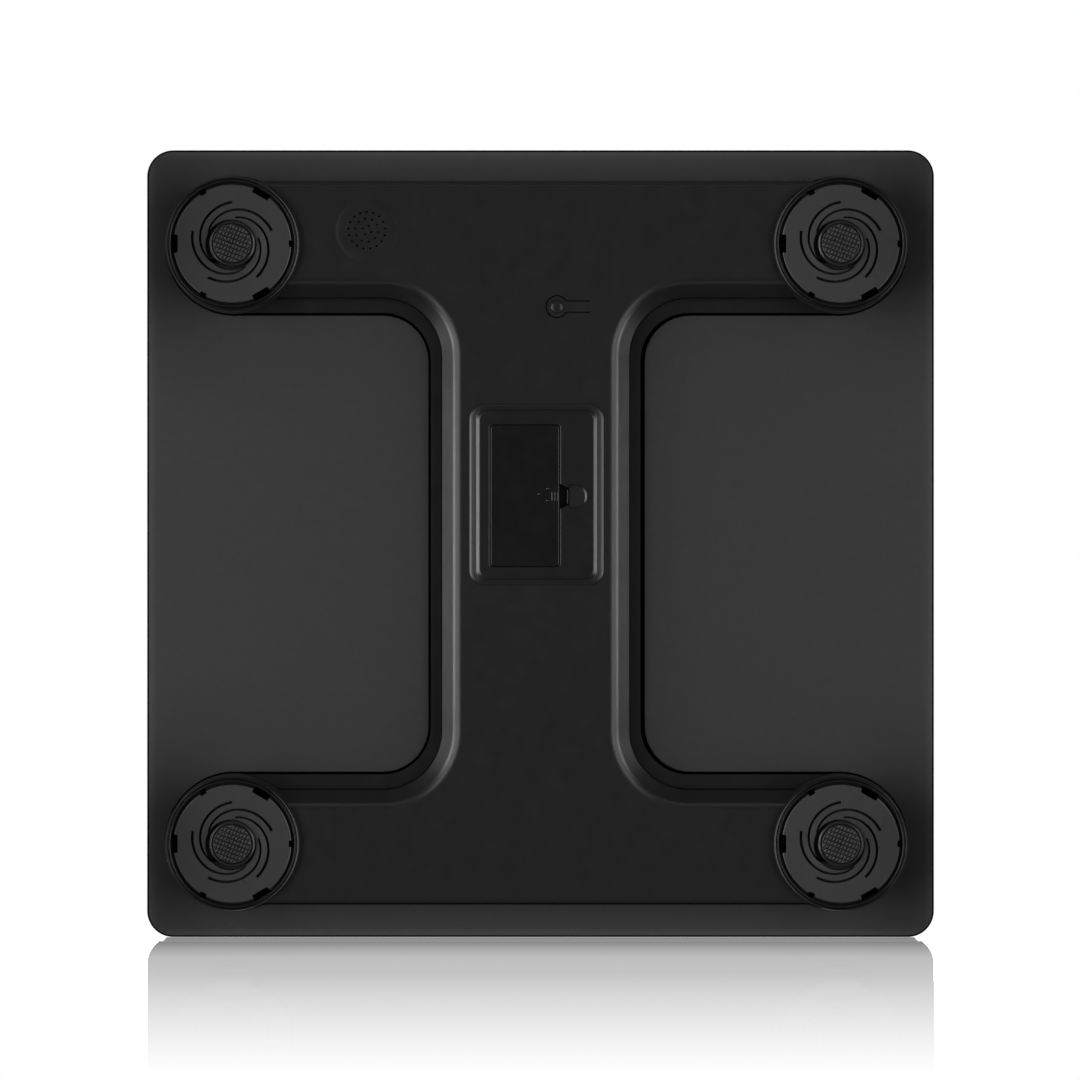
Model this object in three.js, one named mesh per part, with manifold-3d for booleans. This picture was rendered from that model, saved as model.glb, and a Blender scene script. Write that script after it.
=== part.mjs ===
// Digital bathroom scale: a square glass platform on an H-shaped plastic base with four sensor feet.
// Millimetres, +Z up, z = 0 under the foot pads. +Y is the display edge, and the underside faces -Z.
import * as THREE from 'three';
import { mergeVertices } from 'three/addons/utils/BufferGeometryUtils.js';
import Module from 'manifold-3d';

const wasm = await Module();
wasm.setup();

// ---------- driving dimensions ----------
const GAP = 0.3; // clearance between neighbouring pieces
const ROUND = 40; // segments round a large circle

const GLASS = { side: 300, corner: 10, bottom: 19.8, top: 25.8, bevel: 0.6 };
const PRINT = { bottom: 19.45, top: 19.75 };
const BASE_OFFSET = 1.5; // the base sits a little off the middle of the glass
const WINDOW = { x: BASE_OFFSET, y: 117, width: 64, height: 28, corner: 2 };
const TAPE = { bottom: 18.7, top: 19.4, beyond: 0.6, inset: 3.4 }; // it shows a little beyond the base

const BASE = { rim: 18.6, flange: 16.6, face: 5, floor: 7, wall: 2.3 };
const BAR = { halfX: 115, halfY: 136.9, draft: 0.3, edge: 3 };
const BAY = { x: 40.6, halfY: 87.5, corner: 18, reach: 160, arc: 9 };
// how far the bay's edge has moved inwards at each height: a step up from the flange, a slope, a rounded edge
const BAY_WALL = [[BASE.flange, 5.4], [12, 5.4], [7.1, 8.8], [6, 9.85], [5.24, 11.3], [BASE.face, 12.8]];
const BAY_INNER = [[BASE.flange, 7.8], [12, 8.4], [9, 10], [BASE.floor, 12.6]];

const FOOT = { x: 115, y: 113.4 };
const LEAD_NOTCH = { halfY: 3, height: 5.6 }; // where a load cell's wires leave its boss
const BOSS = { radius: 26, rim: 2, rimOuter: 24.4, bore: 24.2, ledge: 19.5, ledgeTop: 6.4 };
const DISC = { radius: 22.3, seat: 23.25, bottom: 2.4, top: 4.1, hole: 9, chamfer: 0.4 };
const SLOT = { count: 5, outer: 15.7, inner: 9.95, turn: 142, start: 18, steps: 8 };
const SLOT_WIDTH = { outer: 0.6, inner: 0.9 };
const NOTCHES = [
  { at: 60, span: 18, depth: 1.4 }, { at: 180, span: 18, depth: 1.4 }, { at: -60, span: 18, depth: 1.4 },
  { at: 0, span: 6.5, depth: 0.9 }, { at: 120, span: 6.5, depth: 0.9 }, { at: -120, span: 6.5, depth: 0.9 },
];
const COLLAR = { radius: 8.7, bottom: 1.1, top: 4, recess: 7.55, recessTop: 2.1 };
const STEM = { radius: 4.5, tip: 2.5, top: 5.8 };
const PAD = { radius: 7.25, top: 2, chamfer: 0.5 };
const CELL = { half: 17, clip: 5, bottom: 6.5, top: 8.5, slot: 1.6, tongue: 5.5, frame: 3.2 };
const GAUGE = { x: 6.5, y: 4.5, corner: 1.6, bottom: 8.6, top: 9.2, shift: 7.5 };

const BOX = { y: 18.8, halfX: 25.7, halfY: 34.7, top: 3, topHalfX: 21.65, topHalfY: 31.35, corner: 5.5 };
// the box's rounded edge: how far out it has come, against how much of its height it has fallen
const BOX_EDGE = [[0, 0], [0.27, 0.11], [0.42, 0.33], [0.58, 0.67], [0.73, 0.89], [1, 1]];
const DOOR = { x: 4.4, y: 18.1, width: 25.9, height: 53.3, corner: 1.2, bottom: 3, top: 4.4 };
const CAVITY = { halfX: 12, halfY: 25.6, bottom: 3, top: 16.6, wall: 1.6, roof: 18 };
const HOOK = { y: 17, width: 5, reach: 1.2, bottom: 4.75, top: 5.4 };
const POCKET = { y: 17.9, halfY: 5.2, low: -13.3, top: 10.2 };
const GRIP_GAP = { near: -8.5, far: -12.4, nearHalf: 4.9, farHalf: 3.1 };
const SCOOP = { near: -12.2, far: -19, half: 4.6, depth: 0.8, lift: 0.5 };
const LATCH = { outer: -11.9, thick: 0.8, halfY: 2.6, top: 8.9, tip: 3.3, catch: 0.8 };
const LEAF = { x: -8.5, thick: 0.9, top: 8.2 };
const RIBS = { count: 3, first: -5.85, pitch: -1.1, width: 0.45, height: 3.5, bottom: 2.75 };

const BUTTON = { x: -7.7, y: 89.7, head: 3.9, tail: 12.6, tailHalf: 1.9, thin: 6.4, slot: 0.55 };
const KNOB = { radius: 2.4, bottom: 4.5 };
const PLUNGER = { radius: 1.2, top: 8.2 };
const SPEAKER = { x: 66, y: 119.3, radius: 12, magnet: 6.5, basket: 10.2, top: 12.4 };
const DISH = { radius: 12.5, depth: 0.35 };
const GRILLE = { radius: 0.4, rings: [[4, 1.75], [10, 4.4], [17, 7]] };

const BOARD = { halfX: 30, low: 84, high: 131, bottom: 11.5, top: 13.1 };
const SCREW = { x: 27.5, y: 92, head: 2.2, shank: 1, pilot: 1.25, post: 2.8, hole: 1.6 };
const LCD = { y: 117, halfX: 34, halfY: 16, bottom: 16.6, top: 18.4 };
const BACKLIGHT = { halfX: 33, halfY: 15, bottom: 13.7, top: 16.3 };
const GASKET = { halfX: 34.5, halfY: 16.5, wall: 2, bottom: 18.5, top: 19.35 };

const CHIP = { x: 12, y: 112, top: 11.4, profile: [[0, 9.9], [3.4, 10.1], [5, 10.8], [5.4, 11.4]] };
const SWITCH = { half: 3, bottom: 9.9, top: 11.4, plungerRadius: 1.7, plungerBottom: 9.3 };
// cable routes for the +X side; the -X side is their mirror image
const CELL_LEAD = {
  radius: 0.9,
  start: (y) => [[107, y, 10.3], [98, y, 14.4], [88, y, 15.6]],
  back: [[62, 108, 15], [42, 98, 14.9], [24, 97, 14.3]],
  front: [
    [52, -113, 15], [33, -103, 14.8], [27.6, -84, 14.8], [27.6, 20, 14.8], [27.6, 74, 14.8], [22, 87, 14.3],
  ],
};
const SPEAKER_LEAD = {
  section: [0.5, 0.9],
  path: [[57.5, 115, 11], [48, 111.5, 11.6], [38, 108.5, 12.2], [31, 108, 12.3]],
};
const BATTERY_LEAD = { radius: 0.6, start: 1.9, height: 14.6, landing: 87 };

const CELL_AAA = { radius: 5.2, body: 43.3, nub: 1.9, nubLength: 1.2, z: 11, pitch: 5.6 };
const CONTACT = { thick: 0.4, low: 6.4, high: 15.8, tabSlot: 1.6 };
const SPRING = { wire: 0.35, radius: 3.4, tip: 2.2, turns: 2.5, length: 5, points: 24 };

// ---------- materials ----------
const paint = (colour, roughness, metalness = 0) =>
  new THREE.MeshStandardMaterial({ color: colour, roughness, metalness });
const MAT = {
  glass: paint(0x9fb4ad, 0.05),
  print: paint(0x383838, 0.7),
  tape: paint(0x161616, 0.8),
  black: paint(0x232323, 0.45),
  disc: paint(0x2a2a2a, 0.4),
  rubber: paint(0x3a3a3a, 0.85),
  steel: paint(0xa8abb0, 0.35, 1),
  gauge: paint(0xe9e6dc, 0.6),
  board: paint(0x1d5a34, 0.5),
  chip: paint(0x101010, 0.5),
  lcd: paint(0x8d9a8a, 0.2),
  backlight: paint(0xf2f2ee, 0.5),
  foam: paint(0x1c1c1c, 0.95),
  cable: paint(0x8a1c1c, 0.6),
  cableBlack: paint(0x151515, 0.6),
  battery: paint(0x2f5f8f, 0.35, 0.4),
};

// ---------- solids ----------
function solid(geometry) {
  const bare = geometry.clone();
  bare.deleteAttribute('normal');
  bare.deleteAttribute('uv');
  const merged = mergeVertices(bare, 1e-4);
  const { Manifold, Mesh } = wasm;
  return new Manifold(new Mesh({
    numProp: 3,
    vertProperties: merged.attributes.position.array,
    triVerts: new Uint32Array(merged.index.array),
  }));
}

function geometryOf(body) {
  const mesh = body.getMesh();
  const geometry = new THREE.BufferGeometry();
  geometry.setAttribute('position', new THREE.Float32BufferAttribute(mesh.vertProperties, 3));
  geometry.setIndex(new THREE.Uint32BufferAttribute(mesh.triVerts, 1));
  geometry.computeVertexNormals();
  return geometry;
}

const ascending = (...values) => values.sort((a, b) => a - b);
const union = (first, ...others) => others.reduce((sum, next) => sum.add(next), first);
const cut = (first, ...others) => others.reduce((rest, next) => rest.subtract(next), first);

function box(x0, x1, y0, y1, z0, z1) {
  const geometry = new THREE.BoxGeometry(x1 - x0, y1 - y0, z1 - z0);
  geometry.translate((x0 + x1) / 2, (y0 + y1) / 2, (z0 + z1) / 2);
  return solid(geometry);
}

function cylinder(x, y, radius, z0, z1, segments = ROUND) {
  const geometry = new THREE.CylinderGeometry(radius, radius, z1 - z0, segments);
  geometry.rotateX(Math.PI / 2);
  geometry.translate(x, y, (z0 + z1) / 2);
  return solid(geometry);
}

// A turned piece from [radius, z] pairs, listed from the lowest point up; it starts and ends on the axis.
function turned(x, y, profile, segments = ROUND) {
  const points = profile.map(([radius, z]) => new THREE.Vector2(radius, z));
  const geometry = new THREE.LatheGeometry(points, segments);
  geometry.rotateX(Math.PI / 2);
  geometry.translate(x, y, 0);
  return solid(geometry);
}

// A rectangle with round corners, anticlockwise, with the same number of points each time.
function roundedOutline(x0, x1, y0, y1, radius, arc = 8) {
  const corners = [
    [x1 - radius, y0 + radius, -90], [x1 - radius, y1 - radius, 0],
    [x0 + radius, y1 - radius, 90], [x0 + radius, y0 + radius, 180],
  ];
  const points = [];
  for (const [cx, cy, from] of corners) {
    for (let i = 0; i <= arc; i += 1) {
      const angle = THREE.MathUtils.degToRad(from + (90 * i) / arc);
      points.push([cx + radius * Math.cos(angle), cy + radius * Math.sin(angle)]);
    }
  }
  return points;
}

// A body through a stack of outlines, each [z, points], from the lowest up.
function loft(rings) {
  const count = rings[0][1].length;
  const positions = rings.flatMap(([z, points]) => points.flatMap(([x, y]) => [x, y, z]));
  const indices = [];
  for (let k = 0; k + 1 < rings.length; k += 1) {
    for (let i = 0; i < count; i += 1) {
      const a = k * count + i;
      const b = k * count + ((i + 1) % count);
      indices.push(a, b, b + count, a, b + count, a + count);
    }
  }
  const flat = (points) => points.map(([x, y]) => new THREE.Vector2(x, y));
  const lid = (points) => THREE.ShapeUtils.triangulateShape(flat(points), []);
  const last = (rings.length - 1) * count;
  lid(rings[0][1]).forEach(([a, b, c]) => indices.push(c, b, a));
  lid(rings[rings.length - 1][1]).forEach(([a, b, c]) => indices.push(last + a, last + b, last + c));
  const geometry = new THREE.BufferGeometry();
  geometry.setAttribute('position', new THREE.Float32BufferAttribute(positions, 3));
  geometry.setIndex(indices);
  return solid(geometry);
}

const prism = (points, z0, z1) => loft([[z0, points], [z1, points]]);

// A cable or wire: a section [x, y] swept along points.
function swept(points, section, steps) {
  const curve = new THREE.CatmullRomCurve3(points.map(([x, y, z]) => new THREE.Vector3(x, y, z)));
  const shape = new THREE.Shape(section.map(([x, y]) => new THREE.Vector2(x, y)));
  return solid(new THREE.ExtrudeGeometry(shape, { steps, bevelEnabled: false, extrudePath: curve }));
}

function ringSection(radiusX, radiusY, sides) {
  return Array.from({ length: sides }, (_, i) => {
    const angle = (2 * Math.PI * i) / sides;
    return [radiusX * Math.cos(angle), radiusY * Math.sin(angle)];
  });
}

// ---------- the platform ----------
function glassPlatform() {
  const half = GLASS.side / 2;
  const outline = (inset) => {
    const reach = half - inset;
    return roundedOutline(-reach, reach, -reach, reach, GLASS.corner - inset, 10);
  };
  return loft([
    [GLASS.bottom, outline(GLASS.bevel)], [GLASS.bottom + GLASS.bevel, outline(0)],
    [GLASS.top - GLASS.bevel, outline(0)], [GLASS.top, outline(GLASS.bevel)],
  ]);
}

function windowOutline() {
  const { x, y, width, height, corner } = WINDOW;
  return roundedOutline(x - width / 2, x + width / 2, y - height / 2, y + height / 2, corner, 4);
}

function backPrint() {
  const half = GLASS.side / 2 - GLASS.bevel;
  const corner = GLASS.corner - GLASS.bevel;
  const sheet = prism(roundedOutline(-half, half, -half, half, corner, 10), PRINT.bottom, PRINT.top);
  return cut(sheet, prism(windowOutline(), PRINT.bottom - 1, PRINT.top + 1));
}

// ---------- the base ----------
const CORNERS = [
  { name: 'front_left', x: -FOOT.x, y: -FOOT.y }, { name: 'front_right', x: FOOT.x, y: -FOOT.y },
  { name: 'back_left', x: -FOOT.x, y: FOOT.y }, { name: 'back_right', x: FOOT.x, y: FOOT.y },
];

// The open bay on one side (side = 1 or -1), its edge moved in by a given amount at each height.
function bay(side, levels) {
  const ring = (grow) => {
    const near = BAY.x - grow;
    const halfY = BAY.halfY + grow;
    const low = side > 0 ? near : -BAY.reach;
    const high = side > 0 ? BAY.reach : -near;
    return roundedOutline(low, high, -halfY, halfY, BAY.corner + grow, BAY.arc);
  };
  return loft([...levels].sort((a, b) => a[0] - b[0]).map(([z, grow]) => [z, ring(grow)]));
}

function outerForm() {
  const { halfX, halfY, draft, edge } = BAR;
  const ring = (inset) => {
    const y = halfY - inset;
    return [[-halfX, -y], [halfX, -y], [halfX, y], [-halfX, y]];
  };
  const block = loft([
    [BASE.face, ring(edge)], [BASE.face + edge * 0.08, ring(edge * 0.6)],
    [BASE.face + edge * 0.35, ring(edge * 0.25 + draft)], [BASE.face + edge, ring(draft)],
    [BASE.rim, ring(0)],
  ]);
  const wall = [[BASE.face - 1, BAY_WALL[BAY_WALL.length - 1][1]], ...BAY_WALL];
  const flange = [[BASE.flange - 0.01, 0], [BASE.rim + 1, 0]];
  return cut(block, bay(1, wall), bay(-1, wall), bay(1, flange), bay(-1, flange));
}

function innerForm() {
  const { halfX, halfY } = BAR;
  const block = box(-halfX, halfX, -halfY + BASE.wall, halfY - BASE.wall, BASE.floor, BASE.rim + 1);
  const [atRim, atFloor] = [BAY_INNER[0][1], BAY_INNER[BAY_INNER.length - 1][1]];
  const wall = [[BASE.floor - 1, atFloor], ...BAY_INNER, [BASE.rim + 2, atRim]];
  return cut(block, bay(1, wall), bay(-1, wall));
}

function footBoss({ x, y }) {
  return turned(x, y, [
    [0, BOSS.rim], [BOSS.rimOuter, BOSS.rim], [BOSS.rimOuter + 0.6, BOSS.rim + 0.4],
    [BOSS.radius - 0.3, BOSS.rim + 1.4], [BOSS.radius, BASE.rim], [0, BASE.rim],
  ]);
}

// The feet's pattern is given as seen from below, where +X is on the left.
const seenFromBelow = (degrees) => THREE.MathUtils.degToRad(180 - degrees);

function anticlockwise(points) {
  const contour = points.map(([x, y]) => new THREE.Vector2(x, y));
  return THREE.ShapeUtils.isClockWise(contour) ? [...points].reverse() : points;
}

// One of the rim notches of a foot disc, cut out to a given radius.
function notchOutline({ at, span, depth }, outer) {
  const inner = DISC.radius - depth;
  const [a, b] = [seenFromBelow(at + span / 2), seenFromBelow(at - span / 2)];
  const corner = (radius, angle) => [radius * Math.cos(angle), radius * Math.sin(angle)];
  return [corner(inner, a), corner(outer, a), corner(outer, b), corner(inner, b)];
}

function footBore({ x, y }) {
  const inward = -Math.sign(x);
  const bore = turned(x, y, [
    [0, BOSS.rim - 1], [DISC.seat, BOSS.rim - 1], [DISC.seat, DISC.top + GAP], [BOSS.ledge, DISC.top + GAP],
    [BOSS.ledge, BOSS.ledgeTop], [BOSS.bore, BOSS.ledgeTop], [BOSS.bore, BASE.rim + 1], [0, BASE.rim + 1],
  ]);
  const [near, far] = ascending(x + inward * (BOSS.bore - 2), x + inward * (BOSS.radius + 2));
  const { halfY, height } = LEAD_NOTCH;
  const pockets = NOTCHES.map((notch) => {
    const outline = anticlockwise(notchOutline(notch, DISC.seat)).map(([px, py]) => [px + x, py + y]);
    return prism(outline, DISC.top, BOSS.ledgeTop + 0.5);
  });
  return union(bore, box(near, far, y - halfY, y + halfY, BASE.rim - height, BASE.rim + 1), ...pockets);
}

function batteryBoss() {
  const depth = BASE.face - BOX.top;
  const level = (share, rise) => {
    const halfX = BOX.topHalfX + share * (BOX.halfX - BOX.topHalfX);
    const halfY = BOX.topHalfY + share * (BOX.halfY - BOX.topHalfY);
    const corner = BOX.corner * (0.5 + 0.5 * share);
    const outline = roundedOutline(-halfX, halfX, BOX.y - halfY, BOX.y + halfY, corner, 6);
    return [BOX.top + rise * depth, outline];
  };
  return loft([...BOX_EDGE.map(([share, rise]) => level(share, rise)), level(1, 2)]);
}

const cavityX = [DOOR.x - CAVITY.halfX, DOOR.x + CAVITY.halfX];
const cavityY = [DOOR.y - CAVITY.halfY, DOOR.y + CAVITY.halfY];
const pocketY = [POCKET.y - POCKET.halfY, POCKET.y + POCKET.halfY];
const latchY = [POCKET.y - LATCH.halfY, POCKET.y + LATCH.halfY];

function compartment() {
  const { wall, roof } = CAVITY;
  const [spanX, spanY] = [cavityX, cavityY].map(([low, high]) => [low - wall, high + wall]);
  const shell = box(...spanX, ...spanY, BASE.face, roof);
  const latchHouse = box(
    POCKET.low - wall, cavityX[0], pocketY[0] - wall, pocketY[1] + wall, BASE.face, POCKET.top + wall,
  );
  return union(shell, latchHouse);
}

function doorOutline(grow) {
  const { x, y, width, height, corner } = DOOR;
  const [halfX, halfY] = [width / 2 + grow, height / 2 + grow];
  return roundedOutline(x - halfX, x + halfX, y - halfY, y + halfY, corner + grow, 4);
}

// The gap beside the door's clip, wider next to the door.
function gripGap() {
  const { near, far, nearHalf, farHalf } = GRIP_GAP;
  const outline = [[far, -farHalf], [near, -nearHalf], [near, nearHalf], [far, farHalf]];
  return prism(outline.map(([x, y]) => [x, y + POCKET.y]), DOOR.bottom - 1, DOOR.top + 0.2);
}

function doorOpening() {
  const seat = prism(doorOutline(GAP), DOOR.bottom - 1, DOOR.top + GAP);
  const room = box(...cavityX, ...cavityY, CAVITY.bottom, CAVITY.top);
  const pocket = box(POCKET.low, cavityX[0] + 1, ...pocketY, DOOR.top + 0.1, POCKET.top);
  const edge = DOOR.x + DOOR.width / 2;
  const slots = [-1, 1].map((side) => {
    const y = DOOR.y + side * HOOK.y;
    const half = HOOK.width / 2 + GAP;
    return box(edge - 2.5, edge + HOOK.reach + GAP, y - half, y + half, DOOR.top + 0.1, HOOK.top + 0.9);
  });
  const { tabSlot, high } = CONTACT;
  const tabs = [-1, 1].map((side) => {
    const x = DOOR.x + side * CELL_AAA.pitch;
    return box(x - tabSlot, x + tabSlot, cavityY[1] - 1, cavityY[1] + 4, high - tabSlot, high - GAP);
  });
  return union(seat, room, pocket, gripGap(), ...slots, ...tabs);
}

function fingerScoop() {
  const length = SCOOP.near - SCOOP.far;
  const shape = new THREE.Shape();
  shape.moveTo(length, -SCOOP.half);
  shape.lineTo(length, SCOOP.half);
  shape.lineTo(SCOOP.half * 0.6, SCOOP.half);
  shape.quadraticCurveTo(0, SCOOP.half * 0.9, 0, 0);
  shape.quadraticCurveTo(0, -SCOOP.half * 0.9, SCOOP.half * 0.6, -SCOOP.half);
  shape.closePath();
  const geometry = new THREE.ExtrudeGeometry(shape, { depth: 5, bevelEnabled: false, curveSegments: 6 });
  geometry.translate(0, 0, -5);
  geometry.rotateY(-Math.atan2(SCOOP.depth - SCOOP.lift, length));
  geometry.translate(SCOOP.far, POCKET.y, BOX.top + SCOOP.lift);
  return solid(geometry);
}

function tongueOutline(grow) {
  const radius = BUTTON.head + grow;
  const half = BUTTON.tailHalf + grow;
  const from = Math.asin(half / radius);
  const steps = 14;
  const points = [];
  for (let i = 0; i <= steps; i += 1) {
    const angle = -Math.PI + from + ((2 * Math.PI - 2 * from) * i) / steps;
    points.push([BUTTON.x + radius * Math.cos(angle), BUTTON.y + radius * Math.sin(angle)]);
  }
  const end = BUTTON.x - BUTTON.tail;
  points.push([end, BUTTON.y + half], [end, BUTTON.y - half]);
  return points;
}

function speakerGrille() {
  const holes = GRILLE.rings.flatMap(([count, radius]) => Array.from({ length: count }, (_, i) => {
    const angle = (2 * Math.PI * (i + 0.25)) / count;
    const [x, y] = [SPEAKER.x + radius * Math.cos(angle), SPEAKER.y + radius * Math.sin(angle)];
    return cylinder(x, y, GRILLE.radius, BASE.face - 1, BASE.floor + 1, 6);
  }));
  const dish = turned(SPEAKER.x, SPEAKER.y, [
    [0, BASE.face - 1], [DISH.radius, BASE.face - 1], [DISH.radius, BASE.face],
    [DISH.radius - 1.4, BASE.face + DISH.depth], [0, BASE.face + DISH.depth],
  ], 32);
  return [dish, ...holes];
}

function speakerRing() {
  const outer = cylinder(SPEAKER.x, SPEAKER.y, SPEAKER.radius + 1.6, BASE.floor - 0.5, 9.4, 24);
  return cut(outer, cylinder(SPEAKER.x, SPEAKER.y, SPEAKER.radius + GAP, BASE.floor, 10, 24));
}

function screwPost(side) {
  const post = cylinder(side * SCREW.x, SCREW.y, SCREW.post, BASE.floor - 0.5, BOARD.bottom - 0.1, 12);
  return cut(post, cylinder(side * SCREW.x, SCREW.y, SCREW.pilot, BASE.floor + 0.6, BOARD.bottom + 1, 12));
}

function baseHousing() {
  const shell = cut(outerForm(), innerForm());
  const bosses = CORNERS.map(footBoss);
  const bores = CORNERS.map(footBore);
  const posts = [-1, 1].map((side) => screwPost(side));
  const whole = union(shell, ...bosses, batteryBoss(), compartment(), speakerRing(), ...posts);
  const buttonSlot = prism(tongueOutline(BUTTON.slot), BASE.face - 1, BASE.floor + 1);
  return cut(whole, ...bores, doorOpening(), fingerScoop(), buttonSlot, ...speakerGrille());
}

// The outline of the base seen from above, moved in by an inset.
function footprint(inset, z0, z1) {
  const { halfX, halfY } = BAR;
  const block = box(-halfX, halfX, -halfY + inset, halfY - inset, z0, z1);
  const levels = [[z0 - 1, inset], [z1 + 1, inset]];
  const bars = cut(block, bay(1, levels), bay(-1, levels));
  return union(bars, ...CORNERS.map(({ x, y }) => cylinder(x, y, BOSS.radius - inset, z0, z1)));
}

function adhesiveTape() {
  const { bottom, top, beyond, inset } = TAPE;
  return cut(footprint(-beyond, bottom, top), footprint(inset, bottom - 1, top + 1));
}

// ---------- the battery compartment's moving pieces ----------
function batteryDoor() {
  const { x, y, width, bottom, top } = DOOR;
  const plate = prism(doorOutline(0), bottom, top);
  const edge = x + width / 2;
  const leaf = box(LEAF.x, LEAF.x + LEAF.thick, ...latchY, top - 0.5, LEAF.top);
  const hooks = [-1, 1].flatMap((side) => {
    const at = y + side * HOOK.y;
    const span = [at - HOOK.width / 2, at + HOOK.width / 2];
    return [
      box(edge - 2, edge - 0.6, ...span, top - 0.5, HOOK.top),
      box(edge - 1, edge + HOOK.reach, ...span, HOOK.bottom, HOOK.top),
    ];
  });
  const ribs = Array.from({ length: RIBS.count }, (_, i) => {
    const at = RIBS.first + i * RIBS.pitch;
    const [halfX, halfY] = [RIBS.width / 2, RIBS.height / 2];
    return box(at - halfX, at + halfX, POCKET.y - halfY, POCKET.y + halfY, RIBS.bottom, bottom + 0.2);
  });
  return union(plate, leaf, ...hooks, ...ribs);
}

// The outer half of the U-shaped clip: bridge, leaf, catch and thumb tip.
function doorLatch() {
  const { outer, thick, halfY, top, tip } = LATCH;
  const leaf = box(outer, outer + thick, ...latchY, tip, top);
  const bridge = box(outer + thick / 2, LEAF.x - GAP, ...latchY, top - thick, top);
  const section = [[-LATCH.catch, 0], [0, -0.9], [0.4, -0.9], [0.4, 0.5], [0, 0.5]];
  const shape = new THREE.Shape(section.map(([x, z]) => new THREE.Vector2(x, z)));
  const geometry = new THREE.ExtrudeGeometry(shape, { depth: 2 * halfY, bevelEnabled: false });
  geometry.rotateX(Math.PI / 2);
  geometry.translate(outer, latchY[1], tip + 2.2);
  return union(leaf, bridge, solid(geometry));
}

function unitButton() {
  const tongue = prism(tongueOutline(0), BASE.face, BUTTON.thin);
  const knob = cylinder(BUTTON.x, BUTTON.y, KNOB.radius, KNOB.bottom, BASE.face + 0.5, 24);
  const plunger = cylinder(BUTTON.x, BUTTON.y, PLUNGER.radius, BUTTON.thin - 0.5, PLUNGER.top, 12);
  return union(tongue, knob, plunger);
}

// ---------- a foot ----------
function spiralSlot(start) {
  const edge = (way) => Array.from({ length: SLOT.steps + 1 }, (_, i) => {
    const share = i / SLOT.steps;
    const width = SLOT_WIDTH.outer + (SLOT_WIDTH.inner - SLOT_WIDTH.outer) * share;
    const radius = SLOT.outer + (SLOT.inner - SLOT.outer) * share + (way * width) / 2;
    const angle = seenFromBelow(start + SLOT.turn * share);
    return [radius * Math.cos(angle), radius * Math.sin(angle)];
  });
  return [...edge(1).reverse(), ...edge(-1)];
}

function footDisc({ x, y }) {
  const { radius, bottom, top, hole, chamfer } = DISC;
  const plate = turned(x, y, [
    [0, bottom], [radius - chamfer, bottom], [radius, bottom + chamfer], [radius, top], [0, top],
  ]);
  const through = (points) => prism(
    anticlockwise(points).map(([px, py]) => [px + x, py + y]), bottom - 1, top + 1,
  );
  const starts = Array.from({ length: SLOT.count }, (_, i) => SLOT.start + (360 * i) / SLOT.count);
  const slots = starts.map((start) => through(spiralSlot(start)));
  const notches = NOTCHES.map((notch) => through(notchOutline(notch, DISC.radius + 1)));
  return cut(plate, cylinder(x, y, hole, bottom - 1, top + 1, 32), ...slots, ...notches);
}

function footStud({ x, y }) {
  const { radius, bottom, top, recess, recessTop } = COLLAR;
  return turned(x, y, [
    [0, recessTop], [recess, recessTop], [recess, bottom], [radius - 0.3, bottom], [radius, bottom + 0.3],
    [radius, top], [STEM.radius, top], [STEM.radius, STEM.top - 0.6], [STEM.tip, STEM.top], [0, STEM.top],
  ], 32);
}

function footPad({ x, y }) {
  return turned(x, y, [
    [0, 0], [PAD.radius - PAD.chamfer, 0], [PAD.radius, PAD.chamfer], [PAD.radius, PAD.top], [0, PAD.top],
  ], 32);
}

function loadCell({ x, y }) {
  const { half, clip, bottom, top, slot, tongue, frame } = CELL;
  const inner = half - clip;
  const outline = [
    [inner, -half], [half, -inner], [half, inner], [inner, half],
    [-inner, half], [-half, inner], [-half, -inner], [-inner, -half],
  ].map(([px, py]) => [px + x, py + y]);
  const plate = prism(outline, bottom, top);
  const reach = half - frame;
  const side = -Math.sign(x);
  const [rootX, tipX] = [x + side * (reach - 3.5), x - side * (reach - 1)];
  const [low, high] = ascending(rootX, tipX);
  const rails = [-1, 1].map((way) => {
    const [y0, y1] = ascending(y + way * tongue, y + way * (tongue + slot));
    return box(low, high, y0, y1, bottom - 1, top + 1);
  });
  const [endA, endB] = ascending(tipX, tipX + side * slot);
  const end = box(endA, endB, y - tongue - slot, y + tongue + slot, bottom - 1, top + 1);
  return cut(plate, ...rails, end);
}

function strainGauge({ x, y }) {
  const centre = x - Math.sign(x) * GAUGE.shift;
  const [halfX, halfY] = [GAUGE.x / 2, GAUGE.y / 2];
  const outline = roundedOutline(centre - halfX, centre + halfX, y - halfY, y + halfY, GAUGE.corner, 3);
  return prism(outline, GAUGE.bottom, GAUGE.top);
}

// The three-wire cable from a load cell to the board.
function cellLead({ x, y }) {
  const { radius, start, back, front } = CELL_LEAD;
  const path = [...start(y), ...(y > 0 ? back : front)].map(([px, py, pz]) => [Math.sign(x) * px, py, pz]);
  return swept(path, ringSection(radius, radius, 6), y > 0 ? 12 : 20);
}

// ---------- the electronics ----------
function mainBoard() {
  const plate = box(-BOARD.halfX, BOARD.halfX, BOARD.low, BOARD.high, BOARD.bottom, BOARD.top);
  const [low, high] = [BOARD.bottom - 1, BOARD.top + 1];
  const holes = [-1, 1].map((side) => cylinder(side * SCREW.x, SCREW.y, SCREW.hole, low, high, 16));
  return cut(plate, ...holes);
}

function boardChip() {
  return turned(CHIP.x, CHIP.y, [...CHIP.profile, [0, CHIP.top]], 24);
}

function tactSwitch() {
  const { half, bottom, top, plungerRadius, plungerBottom } = SWITCH;
  const body = box(BUTTON.x - half, BUTTON.x + half, BUTTON.y - half, BUTTON.y + half, bottom, top);
  return union(body, cylinder(BUTTON.x, BUTTON.y, plungerRadius, plungerBottom, bottom + GAP, 16));
}

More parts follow.
